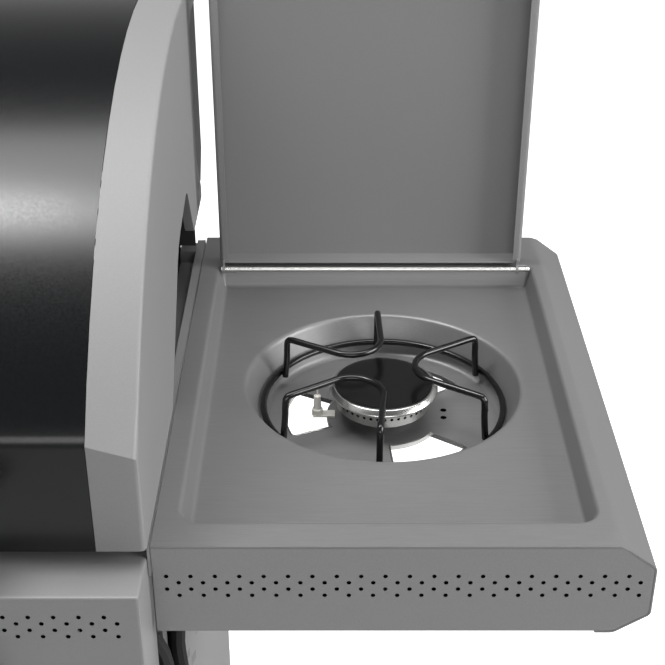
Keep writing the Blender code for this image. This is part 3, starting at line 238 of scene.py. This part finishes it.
def merged_copy(node, name):
    """A CAD node's shape as a new mesh, its loose triangles merged."""
    obj = bpy.data.objects.new(name, frame["nodes"][node].data.copy())
    bpy.context.scene.collection.objects.link(obj)
    obj.data.materials.clear()
    select_only(obj)
    bpy.ops.object.mode_set(mode="EDIT")
    bpy.ops.mesh.select_all(action="SELECT")
    bpy.ops.mesh.remove_doubles(threshold=0.000005)
    bpy.ops.mesh.customdata_custom_splitnormals_clear()
    bpy.ops.mesh.dissolve_limited(angle_limit=math.radians(0.5))
    bpy.ops.object.mode_set(mode="OBJECT")
    return obj


def dressed(node, bevel=0.0, angle=30, material=None):
    """A CAD node's shape with its edges rounded and its own finish."""
    obj = merged_copy(node, node + "_piece")
    if bevel:
        bevelled(obj, bevel)
    smooth(obj, angle)
    return placed(obj, material or FINISHES[SLOTS[node]], node)


def formed(name, across, along, place, closed=True):
    """A grid placed by whole steps across and along; a closed shape has its faces turned outwards."""
    bpy.ops.object.select_all(action="DESELECT")
    bpy.ops.mesh.primitive_grid_add(x_subdivisions=across, y_subdivisions=along, size=1, location=(0, 0, 0))
    obj = bpy.context.active_object
    obj.name = name
    for vert in obj.data.vertices:
        vert.co = place(round((vert.co.x + 0.5) * across), round((vert.co.y + 0.5) * along))
    bpy.ops.object.mode_set(mode="EDIT")
    bpy.ops.mesh.select_all(action="SELECT")
    bpy.ops.mesh.remove_doubles(threshold=0.000002)
    if closed:
        bpy.ops.mesh.normals_make_consistent(inside=False)
    bpy.ops.object.mode_set(mode="OBJECT")
    return obj


def turned(name, profile, centre, steps=72, angle=35):
    """A profile of (radius, height) turned about an upright axis."""

    def place(i, j):
        radius, height = profile[j]
        turn = 2 * math.pi * i / steps
        return centre + Vector((radius * math.cos(turn), radius * math.sin(turn), height))

    return smooth(formed(name, steps, len(profile) - 1, place), angle)


def thickened(obj, thickness, offset=-1):
    """A sheet given its thickness behind its outer side."""
    solidify = obj.modifiers.new("Solidify", "SOLIDIFY")
    solidify.thickness = thickness
    solidify.offset = offset
    solidify.use_even_offset = True
    apply_modifiers(obj)
    return obj


def prism(name, outline, lo, hi):
    """A flat outline pushed upwards from lo to hi."""
    bpy.ops.object.select_all(action="DESELECT")
    bpy.ops.mesh.primitive_circle_add(vertices=len(outline), radius=1, fill_type="NGON", location=(0, 0, 0))
    obj = bpy.context.active_object
    obj.name = name
    for vert, (a, b) in zip(obj.data.vertices, outline):
        vert.co = (a, b, lo)
    bpy.ops.object.mode_set(mode="EDIT")
    bpy.ops.mesh.select_all(action="SELECT")
    bpy.ops.mesh.extrude_region_move(TRANSFORM_OT_translate={"value": (0, 0, hi - lo)})
    bpy.ops.mesh.select_all(action="SELECT")
    bpy.ops.mesh.normals_make_consistent(inside=False)
    bpy.ops.object.mode_set(mode="OBJECT")
    return obj


def box_piece(name, lo, hi):
    """A box between two corners."""
    return prism(name, [(lo[0], lo[1]), (hi[0], lo[1]), (hi[0], hi[1]), (lo[0], hi[1])], lo[2], hi[2])


def tube(name, points, radius, closed=False, resolution=5):
    """A round wire through points."""
    data = bpy.data.curves.new(name, "CURVE")
    data.dimensions = "3D"
    data.bevel_depth = radius
    data.bevel_resolution = resolution
    data.use_fill_caps = not closed
    spline = data.splines.new("POLY")
    spline.points.add(len(points) - 1)
    for point, spot in zip(spline.points, points):
        point.co = (*spot, 1)
    spline.use_cyclic_u = closed
    obj = bpy.data.objects.new(name, data)
    bpy.context.scene.collection.objects.link(obj)
    select_only(obj)
    bpy.ops.object.convert(target="MESH")
    bpy.ops.object.mode_set(mode="EDIT")
    bpy.ops.mesh.select_all(action="SELECT")
    bpy.ops.mesh.remove_doubles(threshold=0.000002)
    bpy.ops.mesh.normals_make_consistent(inside=False)
    bpy.ops.object.mode_set(mode="OBJECT")
    return smooth(obj, 50)


def joined(name, pieces):
    """Several shapes as one piece."""
    bpy.ops.object.select_all(action="DESELECT")
    for piece in pieces:
        piece.select_set(True)
    bpy.context.view_layer.objects.active = pieces[0]
    bpy.ops.object.join()
    pieces[0].name = name
    return pieces[0]


def cut(obj, tool):
    """A tool taken out of a piece; the tool is used up."""
    boolean = obj.modifiers.new("Boolean", "BOOLEAN")
    boolean.operation = "DIFFERENCE"
    boolean.object = tool
    boolean.solver = "EXACT"
    apply_modifiers(obj)
    bpy.data.objects.remove(tool, do_unlink=True)
    return obj


def mirror_copy(obj, name):
    """The same piece on the other end of the grill."""
    copy = obj.copy()
    copy.data = obj.data.copy()
    copy.name = name
    bpy.context.scene.collection.objects.link(copy)
    select_only(copy)
    bpy.ops.object.mode_set(mode="EDIT")
    bpy.ops.mesh.select_all(action="SELECT")
    bpy.ops.transform.mirror(constraint_axis=(True, False, False), center_override=(0, 0, 0))
    bpy.ops.mesh.flip_normals()
    bpy.ops.object.mode_set(mode="OBJECT")
    return copy


def curve_through(points, per_span=8):
    """A smooth line read through points."""
    points = [Vector(p) for p in points]
    ends = [points[0] * 2 - points[1], *points, points[-1] * 2 - points[-2]]
    line = []
    for a, b, c, d in zip(ends, ends[1:], ends[2:], ends[3:]):
        for k in range(per_span):
            t = k / per_span
            square = (2 * a - 5 * b + 4 * c - d) * t**2
            cube = (3 * b - a - 3 * c + d) * t**3
            line.append(0.5 * (2 * b + (c - a) * t + square + cube))
    return [*line, points[-1]]


def rounded(corners, step=6):
    """An outline through (a, b, radius) corners, each rounded by its radius."""
    points = []
    for i, (a, b, radius) in enumerate(corners):
        corner = Vector((a, b))
        before = (Vector(corners[i - 1][:2]) - corner).normalized()
        after = (Vector(corners[(i + 1) % len(corners)][:2]) - corner).normalized()
        turn = math.pi - before.angle(after)
        if radius == 0 or turn < 0.01:
            points.append((a, b))
            continue
        reach = radius * math.tan(turn / 2)
        centre = corner + (before + after).normalized() * (radius / math.cos(turn / 2))
        start = corner + before * reach - centre
        side = 1 if before.x * after.y - before.y * after.x < 0 else -1
        count = max(1, round(math.degrees(turn) / step))
        for k in range(count + 1):
            angle = side * turn * k / count
            points.append(
                (
                    centre.x + start.x * math.cos(angle) - start.y * math.sin(angle),
                    centre.y + start.x * math.sin(angle) + start.y * math.cos(angle),
                )
            )
    return points


# ---- Side shelf: the tray with its well and burner bowl ----------------------------------------------
SHELF_X0 = SHELF_LO.x
SHELF_X1 = SHELF_HI.x
SHELF_D = SHELF_HI.y - SHELF_LO.y
SHEET = 1.5 * MM
SLOPE_W = 27 * MM
SLOPE_FALL = 20.5 * MM
SLOPE_LEAN = math.atan2(SLOPE_FALL, SLOPE_W)
BEND_R = 10 * MM
EDGE_R = 6 * MM
SLOPE_START = SHELF_X1 - SLOPE_W - BEND_R * math.tan(SLOPE_LEAN / 2)
SLOPE_END_X = SHELF_X1 - EDGE_R * math.tan((math.pi / 2 - SLOPE_LEAN) / 2) * math.cos(SLOPE_LEAN)
BURNER_LO, BURNER_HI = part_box("side_burner_base")
BURNER = Vector(((BURNER_LO.x + BURNER_HI.x) / 2, (BURNER_LO.y + BURNER_HI.y) / 2, TOP))
WELL = (SHELF_X0 + 18.7 * MM, SHELF_X1 - 39.7 * MM, FRONT + 30 * MM, FRONT + SHELF_D - 65.5 * MM)
# In millimetres from here on: well depths and the bowl's size; the vents' middles are in degrees.
WELL_DEPTH = 22
LEFT_WELL_DEPTH = 8
BOWL_RIM = 127
VENT_MIDDLES = (60, 178, 300)


def slope_height(x):
    """The height of the shelf's surface at an x: it falls from 0 towards the outer edge."""
    run = abs(x) - SLOPE_START
    if run <= 0:
        return 0.0
    bend_run = BEND_R * math.sin(SLOPE_LEAN)
    if run < bend_run:
        return -(BEND_R - math.sqrt(BEND_R**2 - run**2))
    return -BEND_R * (1 - math.cos(SLOPE_LEAN)) - (run - bend_run) * math.tan(SLOPE_LEAN)


def well_loop(grow, z, corner=12, side=40):
    """Points round the well's rounded plan, grown outwards, always the same count."""
    x0, x1, y0, y1 = WELL[0] - grow, WELL[1] + grow, WELL[2] - grow, WELL[3] + grow
    radii = [max(r + grow, 1 * MM) for r in (16 * MM, 16 * MM, 6 * MM, 6 * MM)]
    centres = [
        (x0 + radii[0], y0 + radii[0], 180),
        (x1 - radii[1], y0 + radii[1], 270),
        (x1 - radii[2], y1 - radii[2], 0),
        (x0 + radii[3], y1 - radii[3], 90),
    ]
    points = []
    for k, (cx, cy, start) in enumerate(centres):
        arc = []
        for s in range(corner + 1):
            turn = math.radians(start + 90 * s / corner)
            arc.append(Vector((cx + radii[k] * math.cos(turn), cy + radii[k] * math.sin(turn), TOP + z)))
        points.extend(arc)
        nx, ny, nstart = centres[(k + 1) % 4]
        turn = math.radians(nstart)
        ahead = radii[(k + 1) % 4]
        target = Vector((nx + ahead * math.cos(turn), ny + ahead * math.sin(turn), TOP + z))
        points.extend(arc[-1].lerp(target, s / side) for s in range(1, side))
    return points


def outer_loop(x0, x1, y0, y1, corner=12, side=40):
    """Points round a square-cornered plan, matched to well_loop's points."""
    base = well_loop(0, 0, corner, side)
    spots = []
    plan = [(x0, y0), (x1, y0), (x1, y1), (x0, y1)]
    span = corner + side
    for k in range(4):
        start, end = base[k * span], base[k * span + corner]
        px, py = plan[k]
        first = Vector((px, start.y, TOP)) if k % 2 == 0 else Vector((start.x, py, TOP))
        last = Vector((end.x, py, TOP)) if k % 2 == 0 else Vector((px, end.y, TOP))
        point = Vector((px, py, TOP))
        for s in range(corner + 1):
            half = s / corner
            spots.append(first.lerp(point, half * 2) if half < 0.5 else point.lerp(last, half * 2 - 1))
        following = base[(k + 1) * span % (4 * span)]
        nx, ny = plan[(k + 1) % 4]
        foot = Vector((following.x, ny, TOP)) if (k + 1) % 2 else Vector((nx, following.y, TOP))
        spots.extend(last.lerp(foot, s / side) for s in range(1, side))
    return spots


def shelf_rings(depth, fillet):
    """Rings from the end of the shelf's slope to the well's floor."""
    outer = outer_loop(SHELF_X0, SLOPE_END_X, FRONT, FRONT + SHELF_D)
    rim = well_loop(3.2 * MM, 0)
    rings = []
    for share in (0, 0.15, 0.3, 0.42, 0.5, 0.56, 0.62, 0.68, 0.74, 0.8, 0.9):
        ring = [a.lerp(b, share) for a, b in zip(outer, rim)]
        rings.append([Vector((p.x, p.y, TOP + slope_height(p.x))) for p in ring])
    rings.append(rim)
    for grow, z in ((2.0, -0.22), (1.0, -0.85), (0.25, -1.9), (-0.3, -3.4)):
        rings.append(well_loop(grow * MM, z * MM))
    for grow, z in ((-4.0, -depth + 3.2), (-4.7, -depth + 1.5), (-6.0, -depth + 0.4), (-8.2, -depth)):
        rings.append(well_loop(grow * MM * fillet, z * MM))
    return rings


def bowl_ring(angles, radius, z):
    """A ring about the burner's axis, its radius and height in millimetres."""
    reach = radius * MM
    return [
        Vector((BURNER.x + reach * math.cos(a), BURNER.y + reach * math.sin(a), TOP + z * MM))
        for a in angles
    ]


def round_to(point, radius, degrees, z):
    """A place about a point: a radius and a height in millimetres, a turn in degrees."""
    turn = math.radians(degrees)
    reach = radius * MM
    return Vector((point.x + reach * math.cos(turn), point.y + reach * math.sin(turn), point.z + z * MM))


def sheet_from(name, rings):
    """A skin through rings of equal count."""
    count = len(rings[0])
    return formed(name, count, len(rings) - 1, lambda i, j: rings[j][i % count], False)


def wrapped_edge(name):
    """The sheet's skirt: from the slope's end round the outer edge, down and under to a return lip."""
    corners = [
        (SHELF_X1, TOP - SLOPE_FALL, EDGE_R),
        (SHELF_X1, TOP - 65 * MM, EDGE_R),
        (SHELF_X1 - SLOPE_W, TOP - 83 * MM, 10 * MM),
        (SHELF_X1 - SLOPE_W - 14 * MM, TOP - 83 * MM, 0),
        (SHELF_X1 - SLOPE_W, TOP, 0),
    ]
    profile = rounded(corners)[:-1]
    edge = outer_loop(SHELF_X0, SLOPE_END_X, FRONT, FRONT + SHELF_D)
    ys = sorted({round(p.y, 7) for p in edge if abs(p.x - SLOPE_END_X) < 0.001 * MM})

    def place(i, j):
        x, z = profile[j]
        return Vector((x, ys[i], z))

    return formed(name, len(ys) - 1, len(profile) - 1, place, False)


def welded(name, *sheets):
    """Sheets joined along their shared edges, their outer side up."""
    sheet = joined(name, list(sheets))
    select_only(sheet)
    bpy.ops.object.mode_set(mode="EDIT")
    bpy.ops.mesh.select_all(action="SELECT")
    bpy.ops.mesh.remove_doubles(threshold=0.00002)
    bpy.ops.mesh.normals_make_consistent(inside=False)
    bpy.ops.object.mode_set(mode="OBJECT")
    top = max(sheet.data.polygons, key=lambda face: face.center.z)
    if top.normal.z < 0:
        sheet.data.flip_normals()
    return sheet


def right_tray():
    """The right sheet: its well, its burner bowl with vents, its skirt and the fixings' dark holes."""
    rings = shelf_rings(WELL_DEPTH, 1.0)
    floor = rings[-1]
    angles = [math.atan2(p.y - BURNER.y, p.x - BURNER.x) for p in floor]
    rim = bowl_ring(angles, BOWL_RIM, -WELL_DEPTH)
    for share in (0.3, 0.6, 0.85):
        rings.append([a.lerp(b, share) for a, b in zip(floor, rim)])
    for radius, z in (
        (BOWL_RIM, -WELL_DEPTH), (125.2, -22.25), (123.6, -23), (122.5, -24.2), (121.6, -26.2),
        (114.5, -43), (110, -53), (108.6, -55.6), (106.5, -57.3), (103.5, -58),
        (89, -58), (70, -58), (51, -58), (33, -58), (30, -57.2), (27, -56.6), (19.5, -56.6),
    ):
        rings.append(bowl_ring(angles, radius, z))
    sheet = welded("shelf_tray_right", sheet_from("tray_top", rings), wrapped_edge("tray_skirt"))
    tray = thickened(sheet, SHEET)
    for middle in VENT_MIDDLES:
        cut(tray, vent_cutter(middle))
    fixings = ((56.7, 8.0), (55.6, -4.6), (95.5, 4.8))
    spots = [round_to(BURNER, radius, turn, -57.9) for radius, turn in fixings]
    for spot in spots:
        bpy.ops.mesh.primitive_cylinder_add(vertices=24, radius=2.8 * MM, depth=2 * MM, location=spot)
        cut(tray, bpy.context.active_object)
    smooth(bevelled(tray, 0.35 * MM, 2, 50), 40)
    placed(tray, STEEL, "shelf_right_tray")
    tray.data.materials.append(SHADOW)
    for face in tray.data.polygons:
        centre = face.center
        if any((centre - spot).length < 2.9 * MM and centre.z < spot.z - 0.3 * MM for spot in spots):
            face.material_index = 1


def vent_outline(middle, spread=0.0):
    """A vent's plan: a stretch of ring with rounded corners."""
    count = 14
    inner, outer = (51 - spread) * MM, (89 + spread) * MM
    half = math.radians(25) + spread * MM / (70 * MM)
    corner = []
    for radius, order in ((outer, range(count + 1)), (inner, range(count, -1, -1))):
        for k in order:
            angle = math.radians(middle) - half + 2 * half * k / count
            soft = 4 * MM if k in (0, count) and radius > 60 * MM else 0
            corner.append((BURNER.x + radius * math.cos(angle), BURNER.y + radius * math.sin(angle), soft))
    return rounded(corner, 15)


def vent_cutter(middle):
    """The tool that cuts one vent through the bowl's floor."""
    return prism("vent_cutter", vent_outline(middle), TOP - 64 * MM, TOP - 50 * MM)


def vent_lips():
    """A turned-down lip along each vent's edge."""
    lips = []
    for middle in VENT_MIDDLES:
        outline = vent_outline(middle, 0.6)
        count = len(outline)
        rows = []
        for grow, z in ((0.0, -57.9), (0.5, -57.5), (0.9, -57.6), (0.9, -61.5)):
            ring = []
            for k, (x, y) in enumerate(outline):
                ahead = Vector(outline[(k + 1) % count]) - Vector(outline[k - 1])
                normal = Vector((ahead.y, -ahead.x)).normalized()
                ring.append(Vector((x - normal.x * grow * MM, y - normal.y * grow * MM, TOP + z * MM)))
            rows.append(ring)
        lips.append(formed("vent_lip", count, len(rows) - 1, lambda i, j: rows[j][i % count], True))
    lip = thickened(joined("burner_bowl_vent_lips", lips), 0.7 * MM, 0)
    placed(smooth(lip, 40), BRIGHT_STEEL, "shelf_right_tray", replaces=False)


def left_tray():
    """The left sheet with its shallow well, shaped on the right and mirrored."""
    rings = shelf_rings(LEFT_WELL_DEPTH, 0.6)
    floor = rings[-1]
    centre = Vector(((WELL[0] + WELL[1]) / 2, (WELL[2] + WELL[3]) / 2, TOP - LEFT_WELL_DEPTH * MM))
    for share in (0.5, 0.9, 1.0):
        rings.append([a.lerp(centre, share) for a in floor])
    sheet = welded("tray_blank", sheet_from("tray_top", rings), wrapped_edge("tray_skirt"))
    tray = thickened(sheet, SHEET)
    smooth(bevelled(tray, 0.35 * MM, 2, 50), 40)
    left = mirror_copy(tray, "shelf_tray_left")
    bpy.data.objects.remove(tray, do_unlink=True)
    placed(left, STEEL, "shelf_left_tray")


def perforation_tool(xs, pitch, count, rows, y0, y1, radius=1.75 * MM):
    """Round punches in staggered rows: xs are the rows' first holes and rows their heights."""
    punches = []
    for first, z in zip(xs, rows):
        for k in range(count):
            bpy.ops.mesh.primitive_cylinder_add(
                vertices=12,
                radius=radius,
                depth=y1 - y0,
                location=(first + pitch * k, (y0 + y1) / 2, z),
                rotation=(math.radians(90), 0, 0),
            )
            punches.append(bpy.context.active_object)
    return joined("punches", punches)


PITCH = 18.05 * MM
HOLE_ROWS = [TOP - z * MM for z in (27.9, 33.9, 40.0, 46.0)]
HOLE_DEPTH = 1.2 * MM


def perforated(obj, first, count, front):
    """Four staggered rows of punched holes, pressed into a plate whose outer side is at front."""
    xs = [first, first + PITCH / 2, first, first + PITCH / 2]
    return cut(obj, perforation_tool(xs, PITCH, count, HOLE_ROWS, front - 2 * MM, front + HOLE_DEPTH))


def darkened_holes(obj, fronts):
    """The holes' insides get the dark finish of the shadow behind the plate."""
    obj.data.materials.append(SHADOW)
    for face in obj.data.polygons:
        spot = face.center
        in_rows = HOLE_ROWS[-1] - 3 * MM < spot.z < HOLE_ROWS[0] + 3 * MM
        if in_rows and any(0.5 * MM < (spot.y - front) < 1.3 * MM for front in fronts):
            face.material_index = 1


def fascias():
    """The perforated rims below the shelves, the left one the right one's mirror."""
    rim = bevelled(merged_copy("shelf_right_fascia", "shelf_rim_right"), 0.3 * MM, 2, 50)
    smooth(perforated(rim, 331.9 * MM, 20, FRONT), 35)
    left = mirror_copy(rim, "shelf_rim_left")
    placed(rim, COAT, "shelf_right_fascia")
    placed(smooth(left, 35), COAT, "shelf_left_fascia")
    darkened_holes(rim, [FRONT])
    darkened_holes(left, [FRONT])


def control_panel():
    """The bent front panel with its rows of punched holes above the knobs."""
    panel = bevelled(merged_copy("control_panel", "control_panel_sheet"), 3.0 * MM, 4, 60)
    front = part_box("control_panel")[0].y
    smooth(perforated(panel, -303.3 * MM, 34, front), 35)
    placed(panel, COAT, "control_panel")
    darkened_holes(panel, [front])


# ---- Side burner -------------------------------------------------------------------------------------
def burner_pieces():
    """The cap's black crown in its polished ring, and the flame ring with its row of ports."""
    crown = [(0, -22.9), (40, -22.9), (43.2, -23.1), (44.0, -23.6), (44.2, -24.4), (0, -24.4), (0, -22.9)]
    ring = [
        (44.2, -23.5), (45.0, -23.4), (45.8, -23.8), (48.6, -26.6), (49.4, -27.8), (49.3, -28.9),
        (48.6, -29.5), (0, -29.5), (0, -24.6), (44.2, -24.6), (44.2, -23.5),
    ]
    shapes = []
    for name, profile in (("burner_cap_ring", ring), ("burner_cap_crown", crown)):
        points = [(r * MM, (z - 0.1) * MM) for r, z in profile]
        shapes.append(turned(name, points, BURNER, 96, 40))
    placed(shapes[0], BRIGHT_STEEL, "side_burner_cap")
    placed(shapes[1], WIRE_ENAMEL, "side_burner_cap", replaces=False)
    ports = merged_copy("side_burner_port_ring", "burner_flame_ring")
    punches = []
    count = 44
    for k in range(count):
        turn = 2 * math.pi * k / count
        bpy.ops.mesh.primitive_cylinder_add(
            vertices=10,
            radius=1.5 * MM,
            depth=8 * MM,
            location=BURNER + Vector((43 * MM * math.cos(turn), 43 * MM * math.sin(turn), -35 * MM)),
            rotation=(0, math.radians(90), turn),
        )
        punches.append(bpy.context.active_object)
    cut(ports, joined("port_punches", punches))
    placed(smooth(ports, 35), ALUMINIUM, "side_burner_port_ring")
    ports.data.materials.append(SHADOW)
    for face in ports.data.polygons:
        spot = face.center - BURNER
        if spot.x**2 + spot.y**2 < (41.5 * MM) ** 2 and -36.8 * MM < spot.z < -33.2 * MM:
            face.material_index = 1


def pan_support():
    """A wire ring with three hairpins welded to it, each two posts bent over into one rounded arm."""
    wire = 3 * MM
    ring = tube("pan_support_wires", [round_to(BURNER, 109, 3 * k, -44) for k in range(120)], wire, True)
    pins = [ring]
    bend, bend_at = 28, 56
    for middle, half in ((121.5, 29.8), (-0.6, 31.0), (238.5, 28.0)):
        post = Vector((101 * math.cos(math.radians(half)), 101 * math.sin(math.radians(half))))
        reach = post - Vector((bend_at, 0))
        touch = math.atan2(reach.y, reach.x) + math.acos(bend / reach.length)
        start = Vector((bend_at + bend * math.cos(touch), bend * math.sin(touch)))
        along = (start - post).normalized()
        side = [(post * 1.025, -47), (post * 1.005, -26), (post, -13), (post + along * 1.2, -7.6)]
        side += [(post + along * 6, -5.5), (post.lerp(start, 0.5), -5.5)]
        for k in range(5):
            turn = touch + (math.pi - touch) * k / 4
            side.append((Vector((bend_at + bend * math.cos(turn), bend * math.sin(turn))), -5.5))
        path = side + [(Vector((spot.x, -spot.y)), z) for spot, z in reversed(side[:-1])]
        spots = []
        for spot, z in path:
            turn = middle + math.degrees(math.atan2(spot.y, spot.x))
            spots.append(round_to(BURNER, spot.length, turn, z))
        pins.append(tube("hairpin", curve_through(spots), wire))
    placed(joined("pan_support_wires", pins), WIRE_ENAMEL, "pan_support")


# ---- Side lid ----------------------------------------------------------------------------------------
def lid_spring():
    """The coil spring on the lid's rod, at its left end."""
    lo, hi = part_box("side_lid_rod")
    middle = Vector((lo.x + 4 * MM, (lo.y + hi.y) / 2, (lo.z + hi.z) / 2))
    coil = []
    for k in range(97):
        turn = 2 * math.pi * k / 12
        coil.append(middle + Vector((0.115 * MM * k, 3.2 * MM * math.cos(turn), 3.2 * MM * math.sin(turn))))
    placed(tube("lid_spring", coil, 0.45 * MM, resolution=2), BRIGHT_STEEL, "side_lid_rod", replaces=False)
    dressed("side_lid_rod", 0.2 * MM, 40, BRIGHT_STEEL)


# ---- Hood --------------------------------------------------------------------------------------------
def hood_skin():
    """The rolled skin: straight up from its hem, over the fold, then one even curve to the back."""
    lo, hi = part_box("hood_skin")
    line = [(lo.y, lo.z + 0.2 * MM)]
    radius, crown_y = 506.5 * MM, FRONT + 392 * MM
    centre_z = TOP - 219 * MM
    front = math.asin((lo.y - crown_y) / radius)
    back = math.asin((hi.y - crown_y) / radius)
    steps = 72
    for k in range(steps + 1):
        turn = front + (back - front) * k / steps
        line.append((crown_y + radius * math.sin(turn), centre_z + radius * math.cos(turn)))
    line[1] = (lo.y, line[1][1] - 3 * MM)

    def place(i, j):
        y, z = line[j]
        return Vector((lo.x + (hi.x - lo.x) * i, y, z))

    sheet = formed("hood_rolled_skin", 1, len(line) - 1, place, False)
    select_only(sheet)
    bpy.ops.object.mode_set(mode="EDIT")
    bpy.ops.mesh.select_all(action="SELECT")
    bpy.ops.mesh.normals_make_consistent(inside=False)
    bpy.ops.object.mode_set(mode="OBJECT")
    if sheet.data.polygons[steps // 2].normal.z < 0:
        sheet.data.flip_normals()
    placed(smooth(thickened(sheet, 1.2 * MM), 30), ENAMEL, "hood_skin")


# ---- Cart side -----------------------------------------------------------------------------------------
def side_panels():
    """The right side panel with slanted runs of upright slits near its top, and its mirror."""
    lo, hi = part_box("side_panel_right")
    panel = bevelled(merged_copy("side_panel_right", "cart_side_right"), 0.5 * MM, 2, 50)
    slits = []
    for row in range(2):
        for group in range(11):
            for k in range(5):
                y = lo.y + (40 + 42 * group + 7 * k) * MM
                z = hi.z - (18 + 42 * row + 4.5 * k) * MM
                slits.append(
                    box_piece("slit", (lo.x - 5 * MM, y, z - 11 * MM), (hi.x + 5 * MM, y + 1.6 * MM, z))
                )
    cut(panel, joined("slits", slits))
    smooth(panel, 35)
    left = mirror_copy(panel, "cart_side_left")
    placed(panel, COAT, "side_panel_right")
    placed(smooth(left, 35), COAT, "side_panel_left")


right_tray()
vent_lips()
left_tray()
fascias()
control_panel()
burner_pieces()
pan_support()
lid_spring()
hood_skin()
side_panels()

# ---- What keeps the CAD shape, and how wide its edges are rounded, in millimetres --------------------
MODELLED = {
    "shelf_right_tray", "shelf_left_tray", "shelf_right_fascia", "shelf_left_fascia", "control_panel",
    "side_burner_cap", "side_burner_port_ring", "pan_support", "side_lid_rod", "hood_skin",
    "side_panel_right", "side_panel_left",
}
EDGES = {
    "hood_end_cap_left": 0.5, "hood_end_cap_right": 0.5, "side_lid": 0.6, "door_left": 1.5,
    "door_right": 1.5, "knob_1": 0.6, "knob_2": 0.6, "knob_3": 0.6, "knob_side_burner": 0.6,
    "firebox_end_panel_right": 0.3, "firebox_end_panel_left": 0.3, "leg_frame_right": 0.4,
    "leg_frame_left": 0.4, "door_handle_left": 0.8, "door_handle_right": 0.8, "thermometer_case": 0.3,
    "caster_wheel_1": 1.0, "caster_wheel_2": 1.0, "caster_wheel_3": 1.0, "caster_wheel_4": 1.0,
    "bottom_shelf": 0.5, "back_panel": 0.3,
}
for node in frame["nodes"]:
    if node not in MODELLED:
        dressed(node, EDGES.get(node, 0) * MM)

# ---- Floor, light and camera -------------------------------------------------------------------------


def softbox(name, place, aim, width, height, power):
    """A rectangular studio light that faces a point."""
    light = bpy.data.lights.new(name, "AREA")
    light.shape = "RECTANGLE"
    light.size = width
    light.size_y = height
    light.energy = power
    obj = bpy.data.objects.new(name, light)
    bpy.context.scene.collection.objects.link(obj)
    obj.location = place
    obj.rotation_euler = (Vector(aim) - Vector(place)).to_track_quat("-Z", "Y").to_euler()


def studio():
    """A floor that looks white to the camera and reflects as pale grey, a dim ceiling, and soft lights."""
    bpy.ops.mesh.primitive_plane_add(size=60, location=(0, 0, 0))
    floor = bpy.context.active_object
    floor.name = "studio_floor"
    pale = finish_of("pale_floor", "cfcfcf", 0.9, Emission_Color=colour("ffffff"))
    seen = add_node(pale, "LightPath").outputs["Is Camera Ray"]
    pale.node_tree.links.new(seen, pale.node_tree.nodes["Principled BSDF"].inputs["Emission Strength"])
    floor.data.materials.append(pale)
    world = bpy.data.worlds.new("studio")
    world.use_nodes = True
    background = world.node_tree.nodes["Background"]
    background.inputs["Color"].default_value = (1, 1, 1, 1)
    place = add_node(world, "TexCoord").outputs["Generated"]
    height = add_node(world, "SeparateXYZ", inputs={"Vector": place}).outputs["Z"]
    fall = add_node(
        world,
        "MapRange",
        inputs={"Value": height, "From Min": 0.25, "From Max": 0.75, "To Min": 0.5, "To Max": 0.04},
    )
    world.node_tree.links.new(fall.outputs["Result"], background.inputs["Strength"])
    bpy.context.scene.world = world
    softbox("overhead", (0.3, 0.20, 3.2), (0.3, 0.0, 0.9), 3.0, 1.15, 66)
    softbox("strip", (-0.70, -0.05, 3.1), (-0.70, -0.30, 1.1), 1.2, 0.26, 26)
    softbox("right", (3.0, -0.6, 1.9), (0.4, 0, 0.9), 1.8, 1.6, 92)
    softbox("front", (0.4, -3.2, 1.7), (0.3, 0, 0.8), 2.4, 1.2, 30)
    bpy.context.scene.view_settings.view_transform = "Standard"


def camera():
    """The camera in front of the right shelf, looking down at 30 degrees."""
    data = bpy.data.cameras.new("camera")
    data.sensor_width = 36
    data.lens = 73.37
    data.shift_x = -0.0023
    obj = bpy.data.objects.new("camera", data)
    bpy.context.scene.collection.objects.link(obj)
    obj.location = at(0.4562, -0.7784, 0.630)
    obj.rotation_euler = (math.radians(60), 0, 0)
    bpy.context.scene.camera = obj


studio()
camera()
